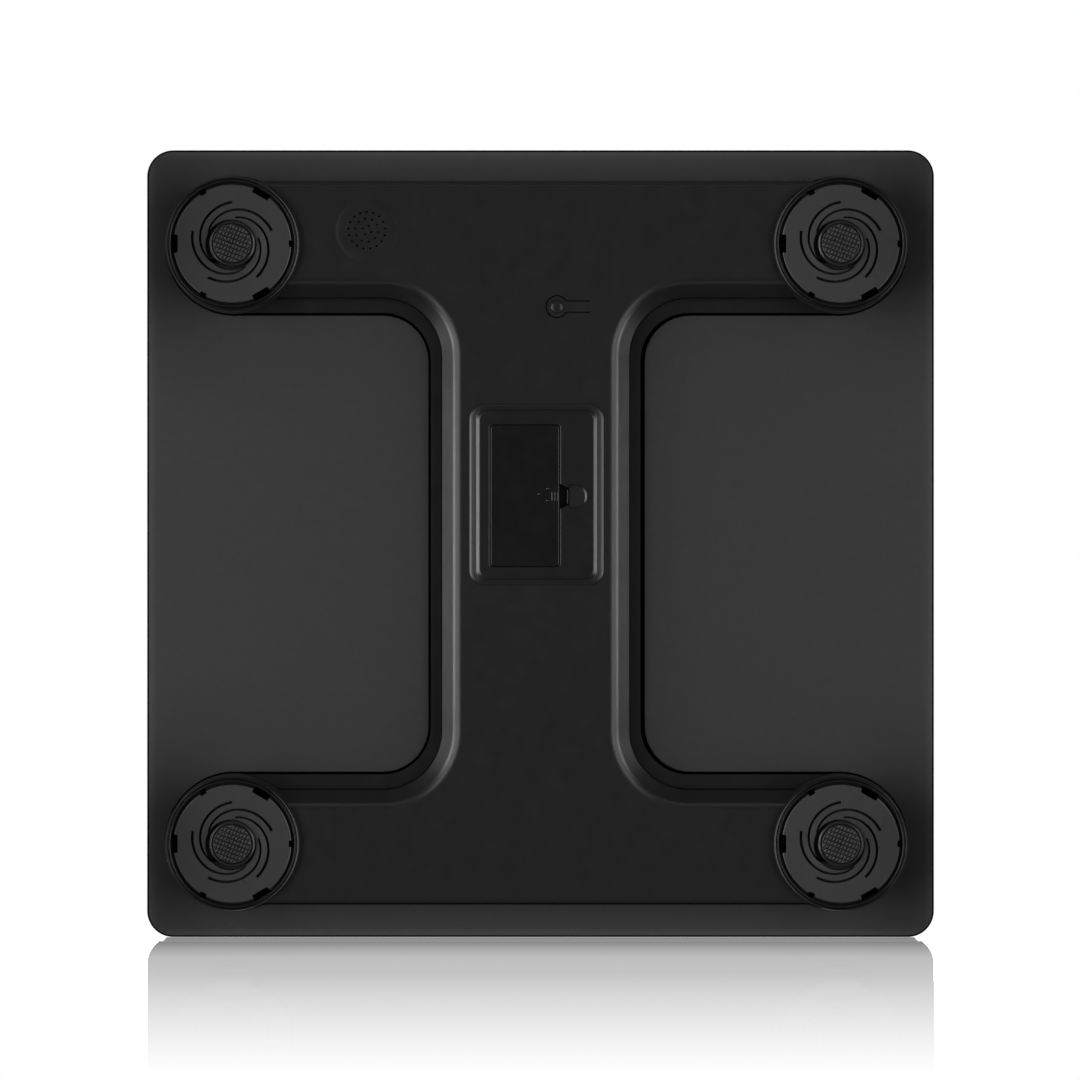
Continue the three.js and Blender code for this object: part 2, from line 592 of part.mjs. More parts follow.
function boardScrew(side) {
  const { shank, head } = SCREW;
  const seat = BOARD.top + 0.1;
  return turned(side * SCREW.x, SCREW.y, [
    [0, BASE.floor + 1], [shank, BASE.floor + 2], [shank, seat],
    [head, seat], [head, seat + 0.8], [head - 0.8, seat + 1.3], [0, seat + 1.3],
  ], 12);
}

function lcdBlock({ halfX, halfY, bottom, top }) {
  return box(-halfX, halfX, LCD.y - halfY, LCD.y + halfY, bottom, top);
}

function lcdGasket() {
  const { halfX, halfY, wall, bottom, top } = GASKET;
  const hole = { halfX: halfX - wall, halfY: halfY - wall, bottom: bottom - 1, top: top + 1 };
  return cut(lcdBlock(GASKET), lcdBlock(hole));
}

function speaker() {
  const { x, y, radius, magnet, basket, top } = SPEAKER;
  const { floor } = BASE;
  return turned(x, y, [
    [0, floor + 0.6], [7, floor + 0.9], [radius - 1, floor + GAP], [radius, floor + GAP],
    [radius, basket - 1], [magnet + 2, basket], [magnet, basket], [magnet, top], [0, top],
  ], 24);
}

function speakerLead() {
  return swept(SPEAKER_LEAD.path, ringSection(...SPEAKER_LEAD.section, 6), 8);
}

// ---------- batteries and contacts ----------
const batteryX = (side) => DOOR.x + side * CELL_AAA.pitch;

// A battery along Y, its raised end at nubY and pointing along way (1 or -1).
function battery(side, nubY, way) {
  const { radius, body, nub, nubLength, z } = CELL_AAA;
  const profile = [
    [0, 0], [radius - 0.5, 0], [radius, 0.5], [radius, body - 0.5], [radius - 0.5, body],
    [nub, body], [nub, body + nubLength], [0, body + nubLength],
  ];
  const points = profile.map(([r, along]) => new THREE.Vector2(r, along));
  const geometry = new THREE.LatheGeometry(points, 20);
  geometry.rotateZ(way > 0 ? 0 : Math.PI);
  geometry.translate(batteryX(side), nubY - way * (body + nubLength), z);
  return solid(geometry);
}

function coil(side, fromY, toY) {
  const { wire, tip, turns, points } = SPRING;
  const path = Array.from({ length: points + 1 }, (_, i) => {
    const share = i / points;
    const radius = SPRING.radius + (tip - SPRING.radius) * share;
    const angle = 2 * Math.PI * turns * share;
    const [across, up] = [radius * Math.cos(angle), radius * Math.sin(angle)];
    return [batteryX(side) + across, fromY + (toY - fromY) * share, CELL_AAA.z + up];
  });
  return swept(path, ringSection(wire, wire, 5), 32);
}

function contactPlate(x0, x1, y0) {
  return box(x0, x1, y0, y0 + CONTACT.thick, CONTACT.low, CONTACT.high);
}

function contactBridge() {
  const y0 = cavityY[0] + 0.2;
  const plate = contactPlate(cavityX[0] + 0.6, cavityX[1] - 0.6, y0);
  return union(plate, coil(-1, y0 + 0.2, y0 + 0.2 + SPRING.length));
}

function contactEnd(side, sprung) {
  const x = batteryX(side);
  const y0 = cavityY[1] - 0.2 - CONTACT.thick;
  const tabEnd = cavityY[1] + CAVITY.wall + 1.4;
  const tab = box(x - 1.2, x + 1.2, y0 + 0.1, tabEnd, CONTACT.high - 1.3, CONTACT.high - 0.7);
  const plate = union(contactPlate(x - 4.6, x + 4.6, y0), tab);
  return sprung ? union(plate, coil(side, y0 + 0.2, y0 + 0.2 - SPRING.length)) : plate;
}

function batteryLead(side) {
  const x = batteryX(side);
  const { radius, start, height, landing } = BATTERY_LEAD;
  const from = cavityY[1] + CAVITY.wall + start;
  const path = [
    [x, from, height + 0.2], [x, from + 12, height],
    [x * 0.7, landing - 13, height], [x * 0.7, landing, height - 0.6],
  ];
  return swept(path, ringSection(radius, radius, 6), 8);
}

// ---------- the assembly ----------
const scale = new THREE.Group();
scale.name = 'bathroom_scale';
const base = new THREE.Group();
base.position.x = BASE_OFFSET;
scale.add(base);

function place(name, body, material, group = base) {
  const mesh = new THREE.Mesh(geometryOf(body), material);
  mesh.name = name;
  group.add(mesh);
}

place('glass_platform', glassPlatform(), MAT.glass, scale);
place('back_print', backPrint(), MAT.print, scale);
place('adhesive_tape', adhesiveTape(), MAT.tape);
place('base_housing', baseHousing(), MAT.black);
place('battery_door', batteryDoor(), MAT.black);
place('door_latch', doorLatch(), MAT.black);
place('unit_button', unitButton(), MAT.black);

for (const corner of CORNERS) {
  place(`foot_disc_${corner.name}`, footDisc(corner), MAT.disc);
  place(`foot_stud_${corner.name}`, footStud(corner), MAT.disc);
  place(`foot_pad_${corner.name}`, footPad(corner), MAT.rubber);
  place(`load_cell_${corner.name}`, loadCell(corner), MAT.steel);
  place(`strain_gauge_${corner.name}`, strainGauge(corner), MAT.gauge);
  place(`cell_lead_${corner.name}`, cellLead(corner), MAT.cable);
}

place('main_board', mainBoard(), MAT.board);
place('board_chip', boardChip(), MAT.chip);
place('tact_switch', tactSwitch(), MAT.chip);
place('board_screw_left', boardScrew(-1), MAT.steel);
place('board_screw_right', boardScrew(1), MAT.steel);
place('lcd_backlight', lcdBlock(BACKLIGHT), MAT.backlight);
place('lcd_panel', lcdBlock(LCD), MAT.lcd);
place('lcd_gasket', lcdGasket(), MAT.foam);
place('speaker', speaker(), MAT.chip);
place('speaker_lead', speakerLead(), MAT.cable);

const nubBack = cavityY[1] - 0.2 - CONTACT.thick - 0.15;
const nubFront = cavityY[0] + 0.2 + CONTACT.thick + 0.15;
place('battery_left', battery(-1, nubBack, 1), MAT.battery);
place('battery_right', battery(1, nubFront, -1), MAT.battery);
place('contact_bridge', contactBridge(), MAT.steel);
place('contact_positive', contactEnd(-1, false), MAT.steel);
place('contact_negative', contactEnd(1, true), MAT.steel);
place('battery_lead_positive', batteryLead(-1), MAT.cable);
place('battery_lead_negative', batteryLead(1), MAT.cableBlack);

export default scale;
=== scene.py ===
"""Looks of the digital bathroom scale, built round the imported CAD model.
Shapes are given in millimetres and become metres when their mesh is made. Lights and camera are in metres."""
import math

import bpy
from mathutils import Euler, Matrix, Vector


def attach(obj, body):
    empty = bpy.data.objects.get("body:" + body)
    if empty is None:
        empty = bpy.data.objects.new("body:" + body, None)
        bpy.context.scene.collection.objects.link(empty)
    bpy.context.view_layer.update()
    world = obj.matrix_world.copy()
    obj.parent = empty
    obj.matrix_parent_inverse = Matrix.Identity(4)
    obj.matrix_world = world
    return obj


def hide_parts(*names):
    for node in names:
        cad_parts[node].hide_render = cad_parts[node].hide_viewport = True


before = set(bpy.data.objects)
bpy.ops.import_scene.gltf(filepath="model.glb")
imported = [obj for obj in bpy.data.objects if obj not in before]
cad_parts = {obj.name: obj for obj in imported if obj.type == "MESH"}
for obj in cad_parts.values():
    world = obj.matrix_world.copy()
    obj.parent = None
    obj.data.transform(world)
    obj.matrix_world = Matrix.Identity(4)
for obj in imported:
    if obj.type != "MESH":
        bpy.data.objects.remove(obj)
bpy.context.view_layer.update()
MM = 0.001

# ---------- driving dimensions, in millimetres ----------
PAST = 1  # how far a cutter reaches past what it cuts
SUNK = 0.5  # how deep one part is sunk into another that it is fused to
ROUND = 128  # segments round a foot

GLASS = {"half": 150, "corner": 10, "bottom": 19.8, "top": 25.8, "arris": 0.75}
ARRIS_SHAPE = [(0, 1), (0.08, 0.62), (0.3, 0.3), (0.62, 0.08), (1, 0)]  # height and inset, in arrises
# the print's last entry is how far in from its edge a painted glow makes it lighter
PRINT = {"half": 149.25, "corner": 9.25, "bottom": 19.45, "top": 19.75, "painted_glow_edge": 3.2}
BASE_OFFSET = 1.5  # the base sits a little off the middle of the glass
WINDOW = {"x": BASE_OFFSET, "y": 117, "half_x": 32, "half_y": 14, "corner": 2}

RIM, FLANGE, FACE, FLOOR = 18.6, 16.6, 5.0, 7.0  # the heights of the base, whose face is its lowest side
BAR = {"half_x": 115, "front": -137.1, "back": 138.1, "draft": 2, "wall": 2.6, "edge": 1.1, "edge_steps": 8}
BAY = {"x": 40.6, "lopsided": 0.7, "half_y": 87.5, "corner": 18, "reach": 160, "arc": 28}
# how far the bay's edge moves in at the flange and at the face, and how much further along Y
BAY_STEP, BAY_FACE, BAY_EXTRA = 4.7, 12.6, 1.4
# the inner side of the bay's wall, as heights and how far the edge moves in
BAY_INSIDE = [(FLOOR - PAST, 12.6), (FLOOR, 12.6), (9, 10), (12, 8.4), (FLANGE, 7.8), (RIM + 2, 7.8)]
# the tape's open edge shows as a black line that stands in for the shadow at the flange's edge
FLANGE_EDGE = 0.35  # how much of the tape's edge the flange leaves open
SLOPE = {"angle": 53, "radius": 4.9, "steps": 12}  # a straight slope under a rounded edge
# the line near the slope's edge, and the groove below it
LIP = {"width": 0.75, "drop": 0.16, "slant": 0.01, "toe": 0.1, "toe_height": 0.15, "toe_end": 0.001,
       "groove": 0.4, "depth": 1.2}

FOOT = {"x": 115, "y": 113.4}
BOSS = {"radius": 26, "rim": 2, "bore": 24.2, "ledge": 19.5, "ledge_top": 6.4}
# a boss's end, as radius and height above its rim: two beads with a groove between
BOSS_END = [(23.95, 0), (24.15, 0.1), (24.3, 0.38), (24.45, 0.32), (24.65, 0.08), (24.9, 0), (25.12, 0.1),
            (25.3, 0.4), (25.42, 0.9), (25.55, 3)]
BORE_EDGE = [(0.42, -0.01), (0.22, 0.05), (0.07, 0.18), (0, 0.4)]  # beyond the disc's seat, and above the rim
GAP_GROOVE = {"inside": 0.2, "roof": 0.5}  # the deep gap round the disc
LEAD_NOTCH = {"half": 3, "height": 5.6, "beyond": 2}
DISC = {"radius": 22.3, "seat": 23.35, "bottom": 2.4, "top": 4.1, "hole": 9.65, "hole_x": 0.6, "hole_y": -0.5,
        "shelf": 0.3}
# the disc's lower face, from its hole and from its radius, and above its lowest point
DISC_DISH = [(0.3, 0.5), (1.3, 0.42), (3, 0.2), (4.5, 0.05), (6, 0)]
DISC_EDGE = [(-0.5, 0), (-0.25, 0.05), (-0.07, 0.17), (0, 0.36)]
SLOT = {"count": 5, "outer": 15.7, "inner": 9.95, "turn": 138, "outer_width": 1.05, "inner_width": 0.75,
        "start": 18, "steps": 36}
# the disc's rim notches: place and width in degrees, and depth
NOTCHES = [(60, 18, 1.4), (180, 18, 1.4), (-60, 18, 1.4), (0, 6.5, 0.9), (120, 6.5, 0.9), (-120, 6.5, 0.9)]
COLLAR = {"radius": 8.7, "bottom": 1.1, "top": 4, "recess": 7.55, "recess_top": 2.1}
# the collar's lower edges, from its recess and from its radius, and above its end
COLLAR_MOUTH = [(0, 0.12), (0.08, 0)]
COLLAR_EDGE = [(-0.85, 0), (-0.55, 0.08), (-0.25, 0.28), (-0.06, 0.6), (0, 1)]
STEM = [(4.5, 5.2), (2.5, 5.8)]  # radius and height
PAD = {"radius": 7.25, "top": 2, "edge": 0.35, "pitch": 0.14, "segments": 200, "groove": 0.5, "flank": 0.36}
PAD_GROOVES = [((0.927, 0.375), 1.3), ((0.342, -0.94), 1.7)]  # direction across the grooves, and pitch

BOX = {"y": 18.6, "half_x": 25.3, "half_y": 34.3, "top": 3, "top_x": 21.05, "top_y": 31, "corner": 5.5,
       "top_corner": 0.55, "corner_gain": 0.45}
# the box's side, from its top outwards, in parts of its width and height: two slopes with a terrace between
BOX_SIDE = [(0, 0), (0.1, 0.02), (0.17, 0.07), (0.4, 0.52), (0.44, 0.56), (0.54, 0.585), (0.78, 0.7),
            (0.86, 0.745), (0.95, 0.89), (1, 0.98), (1.005, 1)]
DOOR = {"x": 4.4, "y": 18.1, "width": 25.9, "height": 53.3, "corner": 1.2, "gap": 0.3,
        "bottom": 3, "top": 4.4}
# the rounded edges of the door and of the opening round it: above the door's face, and from their outlines
DOOR_EDGE = [(0, -0.36), (0.05, -0.2), (0.16, -0.07), (0.36, 0)]
SEAT_EDGE = [(-PAST, 0.5), (0, 0.5), (0.07, 0.24), (0.22, 0.08), (0.5, 0)]
# how far above the door's inner face its seat ends, the rooms for clip and hooks begin, and the gap ends
ABOVE_DOOR = {"seat": 0.3, "pocket": 0.1, "mouth": 0.2, "hook_slot": 0.1}
CAVITY = {"half_x": 12, "half_y": 25.6, "bottom": 3.5, "top": 16.6, "wall": 1.6, "roof": 18}
POCKET = {"y": 17.9, "half_y": 5.2, "low": -13.3, "top": 10.2}
GRIP_GAP = {"near": -8.5, "far": -12.4, "near_half": 4.9, "far_half": 3.1}
SCOOP = {"near": -12.2, "far": -18.7, "half": 4.3, "depth": 0.9, "lift": 0.6, "bevel": 0.75,
         "end": 0.9, "step": 9}
HOOK = {"y": 17, "width": 5, "reach": 1.2, "bottom": 4.75, "top": 5.4, "root": 1, "foot": (2, 0.6),
        "slot": 2.5, "headroom": 0.9}
LEAF = {"x": -8.5, "thick": 0.9, "top": 8.2}
LATCH = {"outer": -11.9, "half_y": 2.6, "top": 8.9, "tip": 3.3}
# the clip's section, from its outer side and its tip, and from its outer side and its top
LATCH_TIP = [(0, 2.7), (-0.8, 2.2), (0, 1.3), (0, 0.2), (0.2, 0), (0.65, 0), (0.8, 0.3)]
LATCH_BEND = [(0.8, -1.1), (1.1, -0.8), (3.1, -0.8), (3.1, 0), (0.8, 0), (0.25, -0.25), (0, -0.8)]
RIBS = {"count": 3, "first": -5.85, "pitch": -1.12, "width": 0.58, "height": 3.6, "corner": 0.9}
DOTS = [(-0.9, 18.8), (-4.2, 20.9), (-4.2, 16.4)]
# a rib's inset and a dot's radius, and how far below the door's face
RIB_SHAPE = [(0.26, 0.4), (0.16, 0.35), (0.05, 0.2), (0, 0), (0, -0.3)]
DOT_SHAPE = [(0, 0.36), (0.2, 0.33), (0.42, 0.16), (0.52, 0), (0.52, -0.3), (0, -0.3)]

BUTTON = {"x": -7.7, "y": 89.7, "head": 3.9, "tail": 12.6, "half": 1.9, "thin": 6.4, "slot": 0.45,
          "knob": 2.4, "knob_z": 4.2, "dimple": 0.25, "pin": 1.2, "pin_top": 8.2}
# the knob's rounded rim, from its radius and above its end
KNOB_RIM = [(-1.3, 0.22), (-1, 0.04), (-0.8, 0), (-0.5, 0.08), (-0.2, 0.34), (0, 0.75)]
SPEAKER = {"x": 64.2, "y": 118.6, "dome": 12.3, "rise": 0.3, "hole": 0.43}
HOLE_RINGS = [(4, 1.75), (10, 4.4), (17, 7)]  # number of holes, and radius
DOME_EDGE = [(-3.4, 1), (-2, 0.92), (-0.7, 0.5), (0, 0)]  # from the dome's radius, and in parts of its rise

# ---------- light, floor and camera ----------
FLAG = {"x": 172, "near": 78, "far": 156, "low": -45, "high": -0.8}
# soft boxes: name, place and size in metres (the first size is along Y on the side ones), and power
LAMPS = [
    ("front_softbox", (0, 0, -2.6), 1.4, 1.4, 0.5),
    ("side_left", (1.03, 0, -1.23), 1.6, 0.5, 8.8), ("side_right", (-1.03, 0, -1.23), 1.6, 0.5, 8),
    ("mid_left", (1.41, 0, -0.75), 1.6, 0.5, 7), ("mid_right", (-1.41, 0, -0.75), 1.6, 0.5, 5),
    ("low_left", (1.59, 0, -0.14), 1.6, 0.5, 20), ("low_right", (-1.59, 0, -0.14), 1.6, 0.5, 14),
    ("end_back", (0, 1.41, -0.75), 1.6, 0.5, 1.8), ("end_front", (0, -1.41, -0.75), 1.6, 0.5, 1.3),
    ("top_softbox", (0.2, -0.4, 1.5), 1.2, 1.2, 22),
]
WORLD = {"below": 0.025, "above": 0.14, "blend": 0.3}
STAGE = {"floor": -0.2, "reach": 3000, "gloss_top": -0.3}
GLOSS_PARTS = [(145, -150.05, -600), (141, -148.5, -21)]  # half width, place along Y and lower end
GLOSS_FADE = {"from": 0.026, "to": -0.49}  # in metres along Z
GLOSS_STOPS = [(0, 0.9), (0.055, 0.79), (0.13, 0.62), (0.2, 0.50), (0.34, 0.45), (0.47, 0.35), (0.7, 0.19),
               (0.9, 0.06), (1, 0)]
CAMERA = {"x": 0.0002, "y": 0.0014, "distance": 2.0, "frame_width": 0.4117, "clip_end": 20}


# ---------- meshes ----------
def mesh_object(name, verts, faces):
    mesh = bpy.data.meshes.new(name)
    mesh.from_pydata([[c * MM for c in v] for v in verts], [], faces)
    mesh.update()
    obj = bpy.data.objects.new(name, mesh)
    bpy.context.scene.collection.objects.link(obj)
    return obj


def skin(name, rings, middle=None):
    """A closed body through rings of (x, y, z), all with as many points. A middle point makes its first end
    a fan."""
    count, first = len(rings[0]), 1 if middle else 0
    verts = [middle] if middle else []
    verts += [point for ring in rings for point in ring]
    if middle:
        faces = [(0, first + (i + 1) % count, first + i) for i in range(count)]
    else:
        faces = [tuple(reversed(range(count)))]
    for a in range(first, first + (len(rings) - 1) * count, count):
        b = a + count
        faces += [(a + i, a + (i + 1) % count, b + (i + 1) % count, b + i) for i in range(count)]
    faces.append(tuple(range(len(verts) - count, len(verts))))
    return mesh_object(name, verts, faces)


def loft(name, rings):
    """A closed body through outlines (z, points), lower end first, each anticlockwise with as many points."""
    return skin(name, [[(x, y, z) for x, y in points] for z, points in rings])


def turned(name, x, y, profile, segments=96):
    """A body turned from (radius, z) pairs, lower end first, that starts and ends on the axis."""
    turns = [2 * math.pi * i / segments for i in range(segments)]
    rings = []
    for radius, z in profile[1:-1]:
        rings.append((z, [(x + radius * math.cos(t), y + radius * math.sin(t)) for t in turns]))
    return loft(name, rings)


def prism(name, outline, z0, z1):
    return loft(name, [(z0, outline), (z1, outline)])


def box(name, x0, x1, y0, y1, z0, z1):
    return prism(name, [(x0, y0), (x1, y0), (x1, y1), (x0, y1)], z0, z1)


def outline_rounded(x0, x1, y0, y1, radius, arc=12):
    corners = [(x1 - radius, y0 + radius, -90), (x1 - radius, y1 - radius, 0),
               (x0 + radius, y1 - radius, 90), (x0 + radius, y0 + radius, 180)]
    points = []
    for cx, cy, start in corners:
        for i in range(arc + 1):
            t = math.radians(start + 90 * i / arc)
            points.append((cx + radius * math.cos(t), cy + radius * math.sin(t)))
    return points


def joined(name, objects):
    """One object that holds the meshes of several, which are removed."""
    verts, faces = [], []
    for o in objects:
        base = len(verts)
        verts += [tuple(c / MM for c in v.co) for v in o.data.vertices]
        faces += [tuple(base + i for i in p.vertices) for p in o.data.polygons]
        bpy.data.objects.remove(o)
    return mesh_object(name, verts, faces)


def offset(points, first, second):
    """Pairs of numbers that are given from some edge and height, made into places."""
    return [(first + a, second + b) for a, b in points]


def boolean(body, others, operation):
    for other in others:
        modifier = body.modifiers.new("boolean", "BOOLEAN")
        modifier.operation = operation
        modifier.solver = "EXACT"
        modifier.object = other
    bpy.context.view_layer.update()
    evaluated = body.evaluated_get(bpy.context.evaluated_depsgraph_get())
    mesh = bpy.data.meshes.new_from_object(evaluated)
    body.modifiers.clear()
    body.data = mesh
    for other in others:
        bpy.data.objects.remove(other)
    return body


def cut(body, *cutters):
    return boolean(body, cutters, "DIFFERENCE")


def fuse(body, *others):
    return boolean(body, others, "UNION")


def place(obj, material, body, node=None, sharp=32, weighted=True, shift=BASE_OFFSET):
    """Smooths a piece, gives it its material and its CAD body, and hides the CAD node that it replaces."""
    mesh = obj.data
    mesh.transform(Matrix.Translation((shift * MM, 0, 0)))
    mesh.materials.clear()
    mesh.materials.append(material)
    mesh.shade_smooth()
    mesh.set_sharp_from_angle(angle=math.radians(sharp))
    if weighted:
        normals = obj.modifiers.new("normals", "WEIGHTED_NORMAL")
        normals.keep_sharp = True
    if node:
        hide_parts(node)
    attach(obj, body)
    return obj


# ---------- materials ----------
class Nodes:
    """A new material and short calls for its nodes."""

    def __init__(self, name):
        self.material = bpy.data.materials.new(name)
        self.material.use_nodes = True
        self.tree = self.material.node_tree
        self.shader = self.tree.nodes["Principled BSDF"]

    def add(self, kind, **values):
        node = self.tree.nodes.new(kind)
        for key, value in values.items():
            if hasattr(node, key):
                setattr(node, key, value)
            else:
                node.inputs[key.replace("_", " ").title()].default_value = value
        return node

    def link(self, source, target):
        self.tree.links.new(source, target)

    def position(self):
        return self.add("ShaderNodeTexCoord").outputs["Object"]

    def height(self):
        split = self.add("ShaderNodeSeparateXYZ")
        self.link(self.position(), split.inputs[0])
        return split.outputs[2]

    def reach(self):
        """How far a point is from the middle, along X or along Y, whichever is more."""
        split = self.add("ShaderNodeSeparateXYZ")
        self.link(self.position(), split.inputs[0])
        far = self.add("ShaderNodeMath", operation="MAXIMUM")
        for axis in (0, 1):
            size = self.add("ShaderNodeMath", operation="ABSOLUTE")
            self.link(split.outputs[axis], size.inputs[0])
            self.link(size.outputs[0], far.inputs[axis])
        return far.outputs[0]

    def noise(self, scale, detail=3.0):
        node = self.add("ShaderNodeTexNoise", scale=scale, detail=detail)
        self.link(self.position(), node.inputs["Vector"])
        return node.outputs["Fac"]

    def span(self, source, low, high, start=0.3, end=0.7):
        """source from start to end becomes low to high."""
        node = self.add("ShaderNodeMapRange")
        for key, value in (("From Min", start), ("From Max", end), ("To Min", low), ("To Max", high)):
            node.inputs[key].default_value = value
        self.link(source, node.inputs["Value"])
        return node.outputs["Result"]

    def mixed(self, factor, first, second):
        node = self.add("ShaderNodeMix", data_type="RGBA")
        for socket, value in ((node.inputs[6], first), (node.inputs[7], second)):
            if isinstance(value, tuple):
                socket.default_value = (*value, 1)
            else:
                self.link(value, socket)
        self.link(factor, node.inputs[0])
        return node.outputs[2]

    def bump(self, height, distance):
        node = self.add("ShaderNodeBump", distance=distance, strength=1.0)
        self.link(height, node.inputs["Height"])
        self.link(node.outputs["Normal"], self.shader.inputs["Normal"])

    def into(self, source, socket):
        self.link(source, self.shader.inputs[socket])


def grey(value):
    return (value, value, value)


def around(colour, spread):
    """A darker and a lighter shade of a colour."""
    return tuple(c * (1 - spread) for c in colour), tuple(c * (1 + spread) for c in colour)


def moulded(name, colour, roughness, grain=0.00002, spread=0.08, bands=()):
    """Moulded plastic: slightly uneven colour and gloss, and the fine texture that a mould leaves.
    Each of the bands gives the plastic below a height, in millimetres, another colour; the bands are used for
    painted shade as well as for tone."""
    n = Nodes(name)
    gloss_spread, soft_edge = 0.03, 0.08
    tone = n.mixed(n.span(n.noise(45), 0, 1), *around(colour, spread))
    for height, other in bands:
        below = n.span(n.height(), 1, 0, (height - soft_edge) * MM, (height + soft_edge) * MM)
        tone = n.mixed(below, tone, other)
    n.into(tone, "Base Color")
    n.into(n.span(n.noise(160), roughness - gloss_spread, roughness + gloss_spread), "Roughness")
    n.bump(n.noise(5200, 2), grain)
    return n.material


def metal(name, colour, roughness):
    """Plated or rolled metal with fine streaks."""
    n = Nodes(name)
    n.shader.inputs["Metallic"].default_value = 1
    stretch = n.add("ShaderNodeMapping")
    stretch.inputs["Scale"].default_value = (1, 30, 1)
    n.link(n.position(), stretch.inputs["Vector"])
    streaks = n.add("ShaderNodeTexNoise", scale=180.0)
    n.link(stretch.outputs["Vector"], streaks.inputs["Vector"])
    streak = streaks.outputs["Fac"]
    n.into(n.mixed(n.span(streak, 0, 1), tuple(c * 0.8 for c in colour), colour), "Base Color")
    n.into(n.span(streak, roughness - 0.06, roughness + 0.08), "Roughness")
    n.bump(streak, 0.00001)
    return n.material


def print_film():
    """The printed back of the glass: matt grey, with a painted glow that makes it lighter towards its edge,
    and black on the glass side.
    """
    n = Nodes("print_film")
    edge_glow = n.span(n.reach(), 0, 1, (PRINT["half"] - PRINT["painted_glow_edge"]) * MM, PRINT["half"] * MM)
    speck = n.mixed(n.span(n.noise(900), 0, 1), grey(0.0248), grey(0.0269))
    # painted glow: the print turns a lighter grey towards its edge
    back = n.mixed(edge_glow, speck, grey(0.047))
    middle, soft_edge = (PRINT["bottom"] + PRINT["top"]) / 2 * MM, 0.00002
    glass_side = n.span(n.height(), 0, 1, middle - soft_edge, middle + soft_edge)
    n.into(n.mixed(glass_side, back, grey(0.004)), "Base Color")
    n.into(n.span(n.noise(300), 0.66, 0.74), "Roughness")
    n.bump(n.noise(6000, 2), 0.000008)
    return n.material


def clear_glass():
    """Float glass with its slight green tint."""
    n = Nodes("clear_glass")
    n.shader.inputs["Transmission Weight"].default_value = 1
    n.shader.inputs["IOR"].default_value = 1.52
    n.into(n.mixed(n.span(n.noise(8), 0, 1), (0.80, 0.93, 0.88), (0.84, 0.95, 0.91)), "Base Color")
    n.into(n.span(n.noise(25), 0.005, 0.03), "Roughness")
    return n.material


def glass_edge_painted_dark():
    """The plate's edge, which is ground smooth; it is painted almost black with no sheen, as a painted
    reflection of the black print seen through the glass.
    """
    n = Nodes("glass_edge_painted_dark")
    n.shader.inputs["Specular IOR Level"].default_value = 0
    n.into(n.mixed(n.span(n.noise(60), 0, 1), (0.002, 0.003, 0.0025), (0.003, 0.004, 0.0035)), "Base Color")
    n.into(n.span(n.noise(900), 0.42, 0.55), "Roughness")
    n.bump(n.noise(2500, 2), 0.00001)
    return n.material


def rubber(name, colour, roughness=0.62, specular=0.5, grooves=None):
    """Rubber or foam. If grooves is given, it is a near-black painted as shade into a pad's grooves, which
    lie above its face.
    """
    n = Nodes(name)
    n.shader.inputs["Specular IOR Level"].default_value = specular
    groove_low, groove_high, gloss_spread = 0.1 * MM, 0.3 * MM, 0.06
    tone = n.mixed(n.span(n.noise(700), 0, 1), *around(colour, 0.25))
    if grooves:
        # painted shade: the pad turns near-black in its grooves
        tone = n.mixed(n.span(n.height(), 0, 1, groove_low, groove_high), tone, grooves)
    n.into(tone, "Base Color")
    n.into(n.span(n.noise(400), roughness - gloss_spread, roughness + gloss_spread), "Roughness")
    n.bump(n.noise(3500, 2), 0.00003)
    return n.material


# the base's black differs by height: the flange is kept darker than everything below it, as painted shade;
# the box's top is darker; the rims of the feet are near-black, as painted shade
ABS_TONE_AND_SHADE_BANDS = [(FLANGE - 0.2, grey(0.0105)), (BOX["top"] + 0.12, grey(0.006)),
             (BOSS["rim"] + 0.85, grey(0.0015))]

MAT = {
    # the first colour is the flange's, kept darker as painted shade
    "abs": moulded("abs_black", grey(0.005), 0.34, bands=ABS_TONE_AND_SHADE_BANDS),
    "door": moulded("abs_door", grey(0.0022), 0.30),
    # the disc's face is grey; above it, in its slots and notches and on its sides, it is painted near-black
    # as shade
    "foot": moulded("foot_plastic", grey(0.002), 0.30, bands=[(DISC["bottom"] + 0.9, grey(0.05))]),
    "stud": moulded("stud_plastic", grey(0.013), 0.30),
    "pad": rubber("pad_rubber_groove_shade", grey(0.042), 0.48, grooves=grey(0.004)),
    "print": print_film(),
    "glass": clear_glass(),
    # the plate's edge, painted near-black as a reflection of the print
    "painted_dark_edge": glass_edge_painted_dark(),
    "foam": rubber("black_foam", grey(0.012), 0.8),
    # the tape is black foam, made unlit-black with no sheen so that its edge beyond the flange shows as a
    # painted shadow line
    "tape": rubber("foam_tape_and_painted_shadow", grey(0.0006), 0.98, 0),
    "steel": metal("cell_steel", (0.07, 0.07, 0.075), 0.5),
    "nickel": metal("nickel_plate", (0.62, 0.61, 0.58), 0.28),
    "board": moulded("solder_mask", (0.015, 0.11, 0.04), 0.35, 0.00003, 0.2),
    "epoxy": moulded("epoxy", grey(0.008), 0.18),
    "gauge": moulded("gauge_silicone", (0.75, 0.72, 0.64), 0.45),
    "red": moulded("wire_red", (0.3, 0.015, 0.012), 0.4),
    "black": moulded("wire_black", grey(0.012), 0.4),
    "diffuser": moulded("light_diffuser", grey(0.7), 0.5),
    "lcd": moulded("lcd_glass", (0.05, 0.06, 0.055), 0.08),
    "cell": moulded("cell_label", (0.03, 0.09, 0.24), 0.3, 0.00001, 0.15),
}


# ---------- the glass and its print ----------
def square(half, corner, arc=20):
    return outline_rounded(-half, half, -half, half, corner, arc)


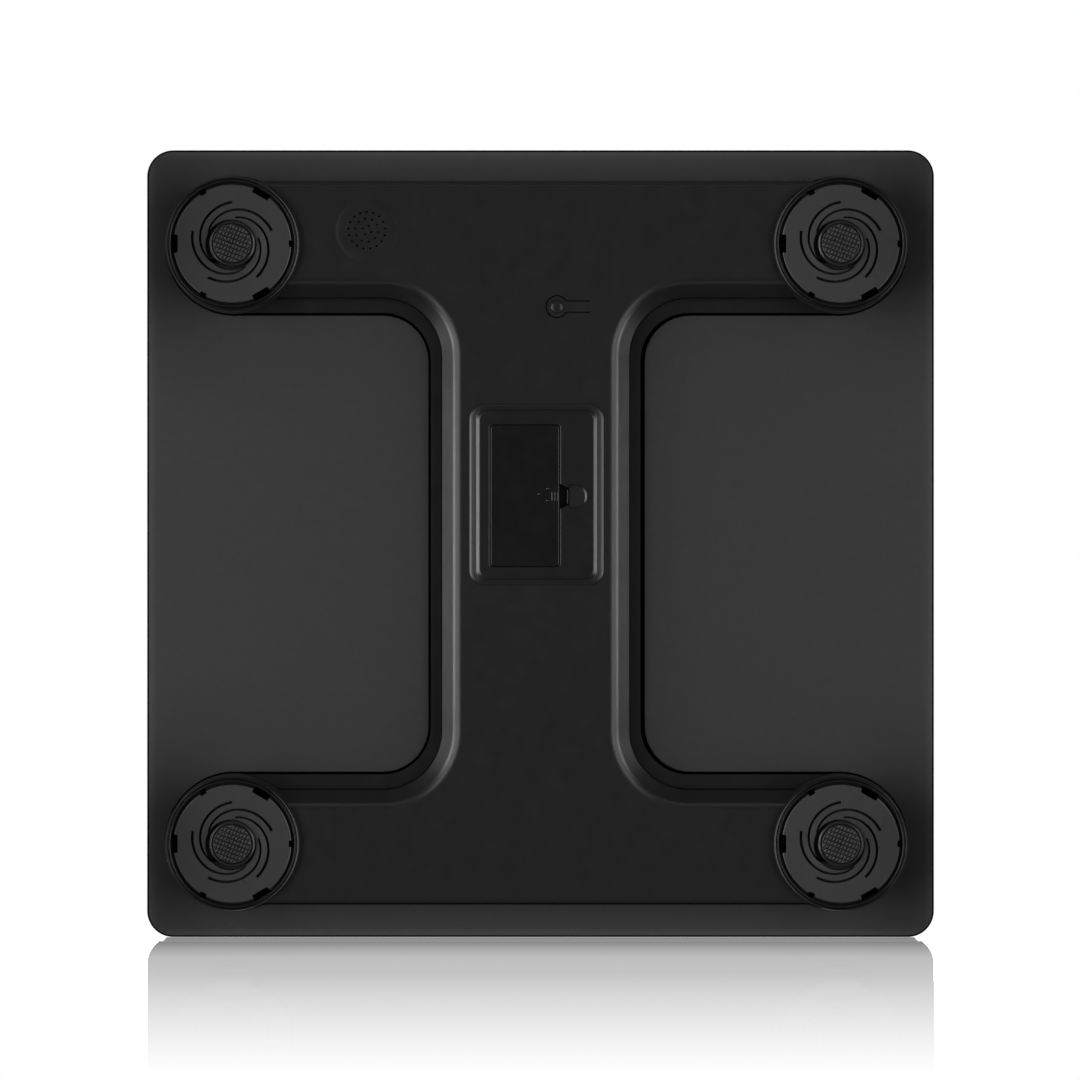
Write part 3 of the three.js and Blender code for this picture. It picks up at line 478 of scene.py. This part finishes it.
def glass_platform():
    half, corner, arris = GLASS["half"], GLASS["corner"], GLASS["arris"]
    low, high = GLASS["bottom"], GLASS["top"]
    sides = [(height, square(half - inset * arris, corner - inset * arris)) for height, inset in ARRIS_SHAPE]
    rings = [(low + height * arris, side) for height, side in sides]
    rings += [(high - height * arris, side) for height, side in reversed(sides)]
    plate = loft("glass_plate", rings)
    place(plate, MAT["glass"], "scale", "glass_platform", shift=0)
    # the plate's sides take the edge material, which is painted near-black
    plate.data.materials.append(MAT["painted_dark_edge"])
    flat = 0.999
    for face in plate.data.polygons:
        face.material_index = 0 if abs(face.normal.z) > flat else 1


def back_print():
    sheet = prism("print_layer", square(PRINT["half"], PRINT["corner"]), PRINT["bottom"], PRINT["top"])
    x, y, half_x, half_y, corner = (WINDOW[k] for k in ("x", "y", "half_x", "half_y", "corner"))
    window = outline_rounded(x - half_x, x + half_x, y - half_y, y + half_y, corner, 8)
    cut(sheet, prism("window", window, PRINT["bottom"] - PAST, PRINT["top"] + PAST))
    place(sheet, MAT["print"], "scale", "back_print", shift=0)


# ---------- the base ----------
CORNERS = {"front_left": (-1, -1), "front_right": (1, -1), "back_left": (-1, 1), "back_right": (1, 1)}


def bay(side, levels, extra=0):
    """The open bay on one side. At each height z of levels its edge is moved in by an amount: (z, amount)."""
    rings = []
    for z, grow in levels:
        near, half = BAY["x"] - grow - (BAY["lopsided"] if side < 0 else 0), BAY["half_y"] + grow + extra
        x0, x1 = (near, BAY["reach"]) if side > 0 else (-BAY["reach"], -near)
        rings.append((z, outline_rounded(x0, x1, -half, half, BAY["corner"] + grow, BAY["arc"])))
    return loft("bay", rings)


def bay_wall():
    """The wall's section from the face up: a rounded edge, a straight slope, and a lip at the flange."""
    radius, angle = SLOPE["radius"], math.radians(SLOPE["angle"])
    levels = [(FACE - PAST, BAY_FACE)]
    for i in range(SLOPE["steps"] + 1):
        t = angle * i / SLOPE["steps"]
        levels.append((FACE + radius * (1 - math.cos(t)), BAY_FACE - radius * math.sin(t)))
    z, grow = levels[-1]
    width, drop, slant, toe = (LIP[k] for k in ("width", "drop", "slant", "toe"))
    edge = z + (grow - BAY_STEP - width) * math.tan(angle)
    foot = edge + drop + (width - toe) * math.tan(angle)
    lip = [(edge, width), (edge + drop, width - slant), (foot, toe - slant), (foot + LIP["toe_height"], 0),
           (FLANGE + LIP["toe_end"], 0)]
    return levels + offset(lip, 0, BAY_STEP)


def wall_groove(side):
    """The narrow groove where the wall meets the flange."""
    low, high, inner = FLANGE - SUNK, FLANGE + LIP["depth"], BAY_STEP - LIP["groove"]
    wide = bay(side, [(low, BAY_STEP), (high, BAY_STEP)], BAY_EXTRA)
    return cut(wide, bay(side, [(low - SUNK, inner), (high + SUNK, inner)], BAY_EXTRA))


def outer_form():
    """The two bars and the column between, as a solid block with its bays cut out."""
    half_x, front, back, draft, edge = (BAR[k] for k in ("half_x", "front", "back", "draft", "edge"))
    levels = []
    for i in range(BAR["edge_steps"] + 1):
        t = math.pi / 2 * i / BAR["edge_steps"]
        levels.append((FACE + edge * (1 - math.cos(t)), edge * (1 - math.sin(t)) + draft))
    levels.append((RIM, 0))
    rings = []
    for z, inset in levels:
        low, high = front + inset, back - inset
        rings.append((z, [(-half_x, low), (half_x, low), (half_x, high), (-half_x, high)]))
    form = loft("base_moulding", rings)
    flange = [(FLANGE - 0.01, FLANGE_EDGE), (RIM + PAST, FLANGE_EDGE)]
    walls = [bay(side, bay_wall(), BAY_EXTRA) for side in (1, -1)]
    cut(form, *walls, bay(1, flange), bay(-1, flange))
    return cut(form, wall_groove(1), wall_groove(-1))


def inner_form():
    """The hollow inside the base."""
    half_x, low, high = BAR["half_x"], BAR["front"] + BAR["wall"], BAR["back"] - BAR["wall"]
    block = box("inside", -half_x, half_x, low, high, FLOOR, RIM + PAST)
    return cut(block, bay(1, BAY_INSIDE, BAY_EXTRA), bay(-1, BAY_INSIDE, BAY_EXTRA))


def foot_boss(x, y):
    rim = BOSS["rim"]
    profile = [(0, rim), *offset(BOSS_END, 0, rim), (BOSS["radius"], RIM), (0, RIM)]
    return turned("boss", x, y, profile, ROUND)


def foot_bore(x, y):
    """The opening for the disc, with a deep gap round it, a ledge above it, and the load cell's room."""
    rim, seat, shelf = BOSS["rim"], DISC["seat"], DISC["top"] + DISC["shelf"]
    ledge, top, bore = BOSS["ledge"], BOSS["ledge_top"], BOSS["bore"]
    gap, roof = DISC["radius"] - GAP_GROOVE["inside"], top - GAP_GROOVE["roof"]
    profile = [(0, rim - PAST), (seat + BORE_EDGE[0][0], rim - PAST), *offset(BORE_EDGE, seat, rim),
               (seat, roof), (gap, roof), (gap, shelf), (ledge, shelf), (ledge, top), (bore, top),
               (bore, RIM + PAST), (0, RIM + PAST)]
    outlines = [offset(notch_outline(*notch, seat), x, y) for notch in NOTCHES]
    pockets = [prism("pocket", outline, DISC["top"], top + SUNK) for outline in outlines]
    return fuse(turned("bore", x, y, profile, ROUND), joined("pockets", pockets))


def lead_notch(x, y):
    """Where the load cell's wires leave their boss."""
    inward, half, beyond = -math.copysign(1, x), LEAD_NOTCH["half"], LEAD_NOTCH["beyond"]
    ends = sorted((x + inward * (BOSS["bore"] - beyond), x + inward * (BOSS["radius"] + beyond)))
    return box("notch", *ends, y - half, y + half, RIM - LEAD_NOTCH["height"], RIM + PAST)


def battery_boss():
    """The raised box round the door, with its stepped side."""
    rings = []
    for s, rise in BOX_SIDE:
        half_x = BOX["top_x"] + s * (BOX["half_x"] - BOX["top_x"])
        half_y = BOX["top_y"] + s * (BOX["half_y"] - BOX["top_y"])
        radius = BOX["corner"] * (BOX["top_corner"] + BOX["corner_gain"] * s)
        rings.append((BOX["top"] + rise * (FACE - BOX["top"]),
                      outline_rounded(-half_x, half_x, BOX["y"] - half_y, BOX["y"] + half_y, radius, 12)))
    rings.append((FLOOR, rings[-1][1]))
    return loft("battery_box", rings)


def cavity_span():
    """The battery compartment's inner sides."""
    x0, x1 = DOOR["x"] - CAVITY["half_x"], DOOR["x"] + CAVITY["half_x"]
    y0, y1 = DOOR["y"] - CAVITY["half_y"], DOOR["y"] + CAVITY["half_y"]
    return x0, x1, y0, y1


def compartment():
    """The battery compartment and the clip's pocket, as solid blocks that are hollowed later."""
    x0, x1, y0, y1 = cavity_span()
    wall = CAVITY["wall"]
    shell = box("compartment", x0 - wall, x1 + wall, y0 - wall, y1 + wall, FACE, CAVITY["roof"])
    low, half, y = POCKET["low"] - wall, POCKET["half_y"] + wall, POCKET["y"]
    return fuse(shell, box("latch_house", low, x0 + SUNK, y - half, y + half, FACE, POCKET["top"] + wall))


def door_outline(grow):
    x, y, half_x, half_y = DOOR["x"], DOOR["y"], DOOR["width"] / 2 + grow, DOOR["height"] / 2 + grow
    return outline_rounded(x - half_x, x + half_x, y - half_y, y + half_y, DOOR["corner"] + grow, 6)


def door_cutters():
    """What is cut out of the base for the door, the batteries, the clip, a fingertip and the two hooks."""
    x0, x1, y0, y1 = cavity_span()
    gap, low, high = DOOR["gap"], DOOR["bottom"], DOOR["top"]
    rings = [(low + z, door_outline(gap + grow)) for z, grow in SEAT_EDGE]
    seat = loft("seat", [*rings, (high + ABOVE_DOOR["seat"], door_outline(gap))])
    room = box("room", x0, x1, y0, y1, CAVITY["bottom"], CAVITY["top"])
    y, half, pocket_low = POCKET["y"], POCKET["half_y"], high + ABOVE_DOOR["pocket"]
    pocket = box("pocket", POCKET["low"], x0 + PAST, y - half, y + half, pocket_low, POCKET["top"])
    near, far, near_half, far_half = (GRIP_GAP[k] for k in ("near", "far", "near_half", "far_half"))
    outline = [(far, y - far_half), (near, y - near_half), (near, y + near_half), (far, y + far_half)]
    mouth = prism("mouth", outline, low - PAST, high + ABOVE_DOOR["mouth"])
    edge = DOOR["x"] + DOOR["width"] / 2
    slot_low, slot_high = high + ABOVE_DOOR["hook_slot"], HOOK["top"] + HOOK["headroom"]
    slots = []
    for side in (-1, 1):
        at, half_hook = DOOR["y"] + side * HOOK["y"], HOOK["width"] / 2 + gap
        slots.append(box("hook_slot", edge - HOOK["slot"], edge + HOOK["reach"] + gap, at - half_hook,
                         at + half_hook, slot_low, slot_high))
    return [seat, room, pocket, mouth, *slots]


def finger_scoop():
    """A shallow recess beside the clip, with a sloped side and a rounded far end."""
    bevel = SCOOP["bevel"]
    slope = (SCOOP["depth"] - SCOOP["lift"]) / (SCOOP["near"] - SCOOP["far"])

    def ring(inset, floor):
        half, far = SCOOP["half"] - inset, SCOOP["far"] + inset
        turns = [math.radians(a) for a in range(90, -91, -SCOOP["step"])]
        end = [(half * SCOOP["end"] * (1 - math.cos(t)), half * math.sin(t)) for t in turns]
        outline = offset(end, far, POCKET["y"])
        outline += [(SCOOP["near"], POCKET["y"] - half), (SCOOP["near"], POCKET["y"] + half)]
        depth = [SCOOP["lift"] + (x - SCOOP["far"]) * slope for x, y in outline]
        return [(x, y, BOX["top"] + d * floor) for (x, y), d in zip(outline, depth)]

    mouth = ring(-bevel / 2, 0)
    return skin("scoop", [[(x, y, z - 2 * PAST) for x, y, z in mouth], mouth, ring(bevel / 2, 1)])


def tongue_outline(grow):
    """The button's round head and its tail, anticlockwise."""
    radius, half, steps = BUTTON["head"] + grow, BUTTON["half"] + grow, 40
    start = math.asin(half / radius)
    points = []
    for i in range(steps + 1):
        t = -math.pi + start + (2 * math.pi - 2 * start) * i / steps
        points.append((BUTTON["x"] + radius * math.cos(t), BUTTON["y"] + radius * math.sin(t)))
    end = BUTTON["x"] - BUTTON["tail"]
    return points + [(end, BUTTON["y"] + half), (end, BUTTON["y"] - half)]


def speaker_dome():
    """A very low rounded platform round the speaker's holes."""
    x, y, dome, rise = (SPEAKER[k] for k in ("x", "y", "dome", "rise"))
    edge = [(dome + r, FACE - rise * part) for r, part in DOME_EDGE]
    return turned("dome", x, y, [(0, FACE - rise), *edge, (dome, FACE + PAST), (0, FACE + PAST)])


def speaker_holes():
    x, y, hole, low, high = SPEAKER["x"], SPEAKER["y"], SPEAKER["hole"], FACE - PAST, FLOOR + PAST
    profile = [(0, low), (hole, low), (hole, high), (0, high)]
    first, segments = 0.25, 14
    holes = []
    for count, radius in HOLE_RINGS:
        for i in range(count):
            px, py = polar(radius, 2 * math.pi * (i + first) / count)
            holes.append(turned("hole", x + px, y + py, profile, segments))
    return joined("holes", holes)


def base_moulding():
    form = cut(outer_form(), inner_form())
    feet = [(sx * FOOT["x"], sy * FOOT["y"]) for sx, sy in CORNERS.values()]
    fuse(form, *[foot_boss(*at) for at in feet], battery_boss(), compartment(), speaker_dome())
    cut(form, *[foot_bore(*at) for at in feet], *[lead_notch(*at) for at in feet])
    button_slot = prism("button_slot", tongue_outline(BUTTON["slot"]), FACE - PAST, FLOOR + PAST)
    cut(form, *door_cutters(), finger_scoop(), button_slot)
    cut(form, speaker_holes())
    place(form, MAT["abs"], "scale", "base_housing")


# ---------- the door, its clip and the button ----------
def battery_door():
    """The door's panel with the clip's inner leaf, two hooks, three ribs and three dots."""
    low, high = DOOR["bottom"], DOOR["top"]
    rings = [(low + z, door_outline(grow)) for z, grow in DOOR_EDGE]
    door = loft("door_panel", [*rings, (high, door_outline(0))])
    y, edge = POCKET["y"], DOOR["x"] + DOOR["width"] / 2
    half = LATCH["half_y"]
    parts = [box("leaf", LEAF["x"], LEAF["x"] + LEAF["thick"], y - half, y + half, high - SUNK, LEAF["top"])]
    foot_near, foot_far = (edge - at for at in HOOK["foot"])
    for side in (-1, 1):
        span = [DOOR["y"] + side * HOOK["y"] + s * HOOK["width"] / 2 for s in (-1, 1)]
        parts.append(box("hook_foot", foot_near, foot_far, *span, high - SUNK, HOOK["top"]))
        root, tip = edge - HOOK["root"], edge + HOOK["reach"]
        parts.append(box("hook", root, tip, *span, HOOK["bottom"], HOOK["top"]))
    for i in range(RIBS["count"]):
        at = RIBS["first"] + i * RIBS["pitch"]
        rings = []
        for inset, below in RIB_SHAPE:
            wide, tall = RIBS["width"] / 2 - inset, RIBS["height"] / 2 - inset
            outline = outline_rounded(at - wide, at + wide, y - tall, y + tall, wide * RIBS["corner"], 3)
            rings.append((low - below, outline))
        parts.append(loft("rib", rings))
    for x, dot_y in DOTS:
        parts.append(turned("dot", x, dot_y, [(radius, low - below) for radius, below in DOT_SHAPE], 16))
    fuse(door, *parts)
    place(door, MAT["door"], "battery_door", "battery_door")


def door_latch():
    """The clip's outer half: a leaf with a catch, and the bend at its top."""
    outer, tip, top = LATCH["outer"], LATCH["tip"], LATCH["top"]
    section = offset(LATCH_TIP, outer, tip) + offset(LATCH_BEND, outer, top)
    ends = (POCKET["y"] + LATCH["half_y"], POCKET["y"] - LATCH["half_y"])
    clip = skin("latch_clip", [[(x, y, z) for x, z in section] for y in ends])
    place(clip, MAT["door"], "door_latch", "door_latch")


def unit_button():
    """The button's flexing tongue, its dimpled knob, and the pin that presses the switch."""
    x, y, knob, z, pin = (BUTTON[k] for k in ("x", "y", "knob", "knob_z", "pin"))
    low, high = BUTTON["thin"] - SUNK, BUTTON["pin_top"]
    tongue = prism("button_tongue", tongue_outline(0), FACE, BUTTON["thin"])
    rim = offset(KNOB_RIM, knob, z)
    knob_shape = [(0, z + BUTTON["dimple"]), *rim, (knob, FACE + SUNK), (0, FACE + SUNK)]
    pin_shape = [(0, low), (pin, low), (pin, high), (0, high)]
    fuse(tongue, turned("knob", x, y, knob_shape, 48), turned("pin", x, y, pin_shape, 24))
    place(tongue, MAT["abs"], "unit_button", "unit_button")


# ---------- the feet ----------
def seen_from_below(degrees):
    """The feet's pattern is given as seen from below, where +X is on the left."""
    return math.radians(180 - degrees)


def polar(radius, angle):
    return radius * math.cos(angle), radius * math.sin(angle)


def slot_outline(start):
    """A spiral slot's outline, anticlockwise, as seen from above."""
    edges = []
    for side in (0.5, -0.5):
        edge = []
        for i in range(SLOT["steps"] + 1):
            s = i / SLOT["steps"]
            width = SLOT["outer_width"] + (SLOT["inner_width"] - SLOT["outer_width"]) * s
            radius = SLOT["outer"] + (SLOT["inner"] - SLOT["outer"]) * s + side * width
            edge.append(polar(radius, seen_from_below(start + SLOT["turn"] * s)))
        edges.append(edge)
    outline = edges[0][::-1] + edges[1]
    area = sum(a[0] * b[1] - b[0] * a[1] for a, b in zip(outline, outline[1:] + outline[:1]))
    return outline if area > 0 else outline[::-1]


def notch_outline(at, span, depth, outer):
    """One of the disc's rim notches, cut out to a given radius."""
    a, b = seen_from_below(at + span / 2), seen_from_below(at - span / 2)
    inner = DISC["radius"] - depth
    return [polar(inner, a), polar(outer, a), polar(outer, b), polar(inner, b)]


def foot_disc(name, x, y):
    """The slightly dished disc with its spiral slots, its rim notches and the hole for the stud."""
    radius, low, high, hole = DISC["radius"], DISC["bottom"], DISC["top"], DISC["hole"]
    dish, edge = offset(DISC_DISH, hole, low), offset(DISC_EDGE, radius, low)
    profile = [(0, dish[0][1]), *dish, *edge, (radius, high), (0, high)]
    disc = turned(f"spring_disc_{name}", x, y, profile, ROUND)

    def cutters(outlines):
        prisms = [prism("cutter", offset(outline, x, y), low - PAST, high + PAST) for outline in outlines]
        return joined("cutters", prisms)

    slots = cutters([slot_outline(SLOT["start"] + 360 * i / SLOT["count"]) for i in range(SLOT["count"])])
    notches = cutters([notch_outline(*notch, radius + PAST) for notch in NOTCHES])
    hole_shape = [(0, low - PAST), (hole, low - PAST), (hole, high + PAST), (0, high + PAST)]
    middle = turned("hole", x + DISC["hole_x"], y + DISC["hole_y"], hole_shape)
    cut(disc, middle, slots, notches)
    place(disc, MAT["foot"], "scale", f"foot_disc_{name}")


def foot_stud(name, x, y):
    """The collar that holds the pad, and the stem that presses on the load cell."""
    radius, low, high, recess, deep = (COLLAR[k] for k in ("radius", "bottom", "top", "recess", "recess_top"))
    mouth, edge = offset(COLLAR_MOUTH, recess, low), offset(COLLAR_EDGE, radius, low)
    stem = [(STEM[0][0], high), *STEM, (0, STEM[-1][1])]
    profile = [(0, deep), (recess, deep), *mouth, *edge, (radius, high), *stem]
    collar = turned(f"stud_collar_{name}", x, y, profile)
    place(collar, MAT["stud"], f"foot_{name}", f"foot_stud_{name}")


def pad_height(px, py):
    """How far the pad's face is cut back at a point: small blocks between crossed grooves."""
    deep = 0
    for (ax, ay), pitch in PAD_GROOVES:
        along = (px * ax + py * ay) / pitch
        off = abs(along - round(along)) * pitch
        deep = max(deep, 1 - min(1, off / PAD["flank"]))
    return PAD["groove"] * deep


def foot_pad(name, x, y):
    """A disc of fine rings whose lower face is cut into diamonds and rounded at its edge."""
    radius, edge, segments = PAD["radius"], PAD["edge"], PAD["segments"]
    turns = [2 * math.pi * i / segments for i in range(segments)]
    count = int(radius / PAD["pitch"])
    rings = []
    for k in range(1, count + 1):
        at = radius * k / count
        lift = max(0, at - (radius - edge)) / edge
        ring = []
        for px, py in (polar(at, t) for t in turns):
            ring.append((x + px, y + py, pad_height(px, py) * (1 - lift) + edge * lift * lift))
        rings.append(ring)
    rings.append([(px, py, PAD["top"]) for px, py, pz in rings[-1]])
    pad = skin(f"grip_pad_{name}", rings, middle=(x, y, pad_height(0, 0)))
    place(pad, MAT["pad"], f"foot_{name}", f"foot_pad_{name}", sharp=50, weighted=False)


# ---------- carried-over CAD nodes ----------
def repaint(node, material):
    """Gives a CAD node that stays another material."""
    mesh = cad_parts[node].data
    mesh.materials.clear()
    mesh.materials.append(material)


INNER = {
    "adhesive_tape": "tape", "main_board": "board", "board_chip": "epoxy", "tact_switch": "epoxy",
    "board_screw_left": "nickel", "board_screw_right": "nickel", "lcd_backlight": "diffuser",
    "lcd_panel": "lcd", "lcd_gasket": "foam", "speaker": "epoxy", "speaker_lead": "red",
    "battery_left": "cell", "battery_right": "cell", "contact_bridge": "nickel", "contact_positive": "nickel",
    "contact_negative": "nickel", "battery_lead_positive": "red", "battery_lead_negative": "black",
}


# ---------- the studio ----------
def soft_light(name, location, width, height, power):
    """A soft box that points at the middle of the base."""
    data = bpy.data.lights.new(name, "AREA")
    data.shape = "RECTANGLE"
    data.size, data.size_y, data.energy = width, height, power
    light = bpy.data.objects.new(name, data)
    light.location = location
    light.rotation_euler = (-Vector(location)).to_track_quat("-Z", "Y").to_euler()
    light.visible_camera = False
    bpy.context.scene.collection.objects.link(light)


def flag_material():
    """Matt black that blocks light, but isn't seen in a mirror."""
    n = Nodes("flag_black")
    n.into(n.mixed(n.span(n.noise(40), 0, 1), grey(0.001), grey(0.002)), "Base Color")
    n.shader.inputs["Specular IOR Level"].default_value = 0
    clear = n.add("ShaderNodeBsdfTransparent")
    mix = n.add("ShaderNodeMixShader")
    n.link(n.add("ShaderNodeLightPath").outputs["Is Singular Ray"], mix.inputs[0])
    n.link(n.shader.outputs[0], mix.inputs[1])
    n.link(clear.outputs[0], mix.inputs[2])
    n.link(mix.outputs[0], n.tree.nodes["Material Output"].inputs["Surface"])
    return n.material


def studio_flags():
    """Black cards that keep the side lights off the outer side of each foot."""
    black = flag_material()
    for sx, sy in CORNERS.values():
        x, near, far = sx * FLAG["x"], sy * FLAG["near"], sy * FLAG["far"]
        low, high = FLAG["low"], FLAG["high"]
        verts = [(x, near, low), (x, far, low), (x, far, high), (x, near, high)]
        card = mesh_object("flag", verts, [(0, 1, 2, 3)])
        card.data.materials.append(black)
        card.visible_camera = False


def world_light(below, above, blend):
    """Dim light from all round, brighter from above, in front of a white background."""
    world = bpy.data.worlds.new("studio")
    bpy.context.scene.world = world
    world.use_nodes = True
    tree = world.node_tree
    background = tree.nodes["Background"]
    background.inputs["Color"].default_value = (1, 1, 1, 1)
    path = tree.nodes.new("ShaderNodeLightPath")
    seen = tree.nodes.new("ShaderNodeMath")
    seen.operation = "MAXIMUM"
    tree.links.new(path.outputs["Is Camera Ray"], seen.inputs[0])
    tree.links.new(path.outputs["Is Singular Ray"], seen.inputs[1])
    level = tree.nodes.new("ShaderNodeMapRange")
    split = tree.nodes.new("ShaderNodeSeparateXYZ")
    tree.links.new(tree.nodes.new("ShaderNodeTexCoord").outputs["Generated"], split.inputs[0])
    height = tree.nodes.new("ShaderNodeMapRange")
    height.inputs["From Min"].default_value = 0
    height.inputs["From Max"].default_value = blend
    height.inputs["To Min"].default_value = below
    height.inputs["To Max"].default_value = above
    tree.links.new(split.outputs[2], height.inputs["Value"])
    tree.links.new(height.outputs["Result"], level.inputs["To Min"])
    tree.links.new(seen.outputs[0], level.inputs["Value"])
    tree.links.new(level.outputs["Result"], background.inputs["Strength"])


def one_sided(n, surface):
    """Shows a floor from its front only, so that it never hides the object from behind."""
    clear = n.add("ShaderNodeBsdfTransparent")
    mix = n.add("ShaderNodeMixShader")
    n.link(n.add("ShaderNodeNewGeometry").outputs["Backfacing"], mix.inputs[0])
    n.link(surface, mix.inputs[1])
    n.link(clear.outputs[0], mix.inputs[2])
    n.link(mix.outputs[0], n.tree.nodes["Material Output"].inputs["Surface"])


def stage_plane(name, verts, material):
    """A plane that only the camera sees."""
    plane = mesh_object(name, verts, [(0, 1, 2, 3)])
    plane.data.materials.append(material)
    for ray in ("visible_diffuse", "visible_glossy", "visible_transmission", "visible_shadow"):
        setattr(plane, ray, False)


def floor_material():
    n = Nodes("pale_floor")
    n.shader.inputs["Roughness"].default_value = 0.6
    n.into(n.mixed(n.span(n.noise(4), 0, 1), grey(0.80), grey(0.82)), "Base Color")
    one_sided(n, n.shader.outputs[0])
    return n.material


def gloss_material():
    """A glossy white surface whose reflection fades with the distance from the object."""
    n = Nodes("white_gloss")
    fade = n.add("ShaderNodeValToRGB")
    ramp = fade.color_ramp
    for away, value in GLOSS_STOPS[1:-1]:
        ramp.elements.new(away)
    for element, (away, value) in zip(ramp.elements, GLOSS_STOPS):
        element.position = away
        element.color = (*grey(value), 1)
    n.link(n.span(n.height(), 1, 0, GLOSS_FADE["to"], GLOSS_FADE["from"]), fade.inputs[0])
    white = n.add("ShaderNodeEmission")
    gloss = n.add("ShaderNodeBsdfGlossy")
    gloss.inputs["Roughness"].default_value = 0
    gloss.inputs["Color"].default_value = (1, 1, 1, 1)
    mix = n.add("ShaderNodeMixShader")
    n.link(fade.outputs[0], mix.inputs[0])
    n.link(white.outputs[0], mix.inputs[1])
    n.link(gloss.outputs[0], mix.inputs[2])
    one_sided(n, mix.outputs[0])
    return n.material


def stage():
    """The pale floor, and below it a glossy surface in line with the scale's front edge. The upper part of
    that surface is set back, so that none of it has to rise above the floor."""
    gloss, top = gloss_material(), STAGE["gloss_top"]
    for half, y, low in GLOSS_PARTS:
        stage_plane("white_gloss", [(-half, y, low), (-half, y, top), (half, y, top), (half, y, low)], gloss)
    reach, floor = STAGE["reach"], STAGE["floor"]
    corners = [(-reach, -reach, floor), (reach, -reach, floor), (reach, reach, floor), (-reach, reach, floor)]
    stage_plane("pale_floor", corners, floor_material())


def camera():
    """Square on to the underside, with the display edge at the top."""
    data = bpy.data.cameras.new("camera")
    data.lens = data.sensor_width * CAMERA["distance"] / CAMERA["frame_width"]
    data.clip_end = CAMERA["clip_end"]
    view = bpy.data.objects.new("camera", data)
    view.location = (CAMERA["x"], CAMERA["y"], GLASS["bottom"] * MM - CAMERA["distance"])
    view.rotation_euler = Euler((0, math.pi, 0))
    bpy.context.scene.collection.objects.link(view)
    bpy.context.scene.camera = view


# ---------- the whole ----------
glass_platform()
back_print()
base_moulding()
battery_door()
door_latch()
unit_button()
for corner, (sx, sy) in CORNERS.items():
    at = (sx * FOOT["x"], sy * FOOT["y"])
    foot_disc(corner, *at)
    foot_stud(corner, *at)
    foot_pad(corner, *at)
    repaint(f"load_cell_{corner}", MAT["steel"])
    repaint(f"strain_gauge_{corner}", MAT["gauge"])
    repaint(f"cell_lead_{corner}", MAT["red"])
for inner, look in INNER.items():
    repaint(inner, MAT[look])

for lamp in LAMPS:
    soft_light(*lamp)
world_light(**WORLD)
studio_flags()
stage()
camera()
bpy.context.scene.view_settings.view_transform = "Standard"
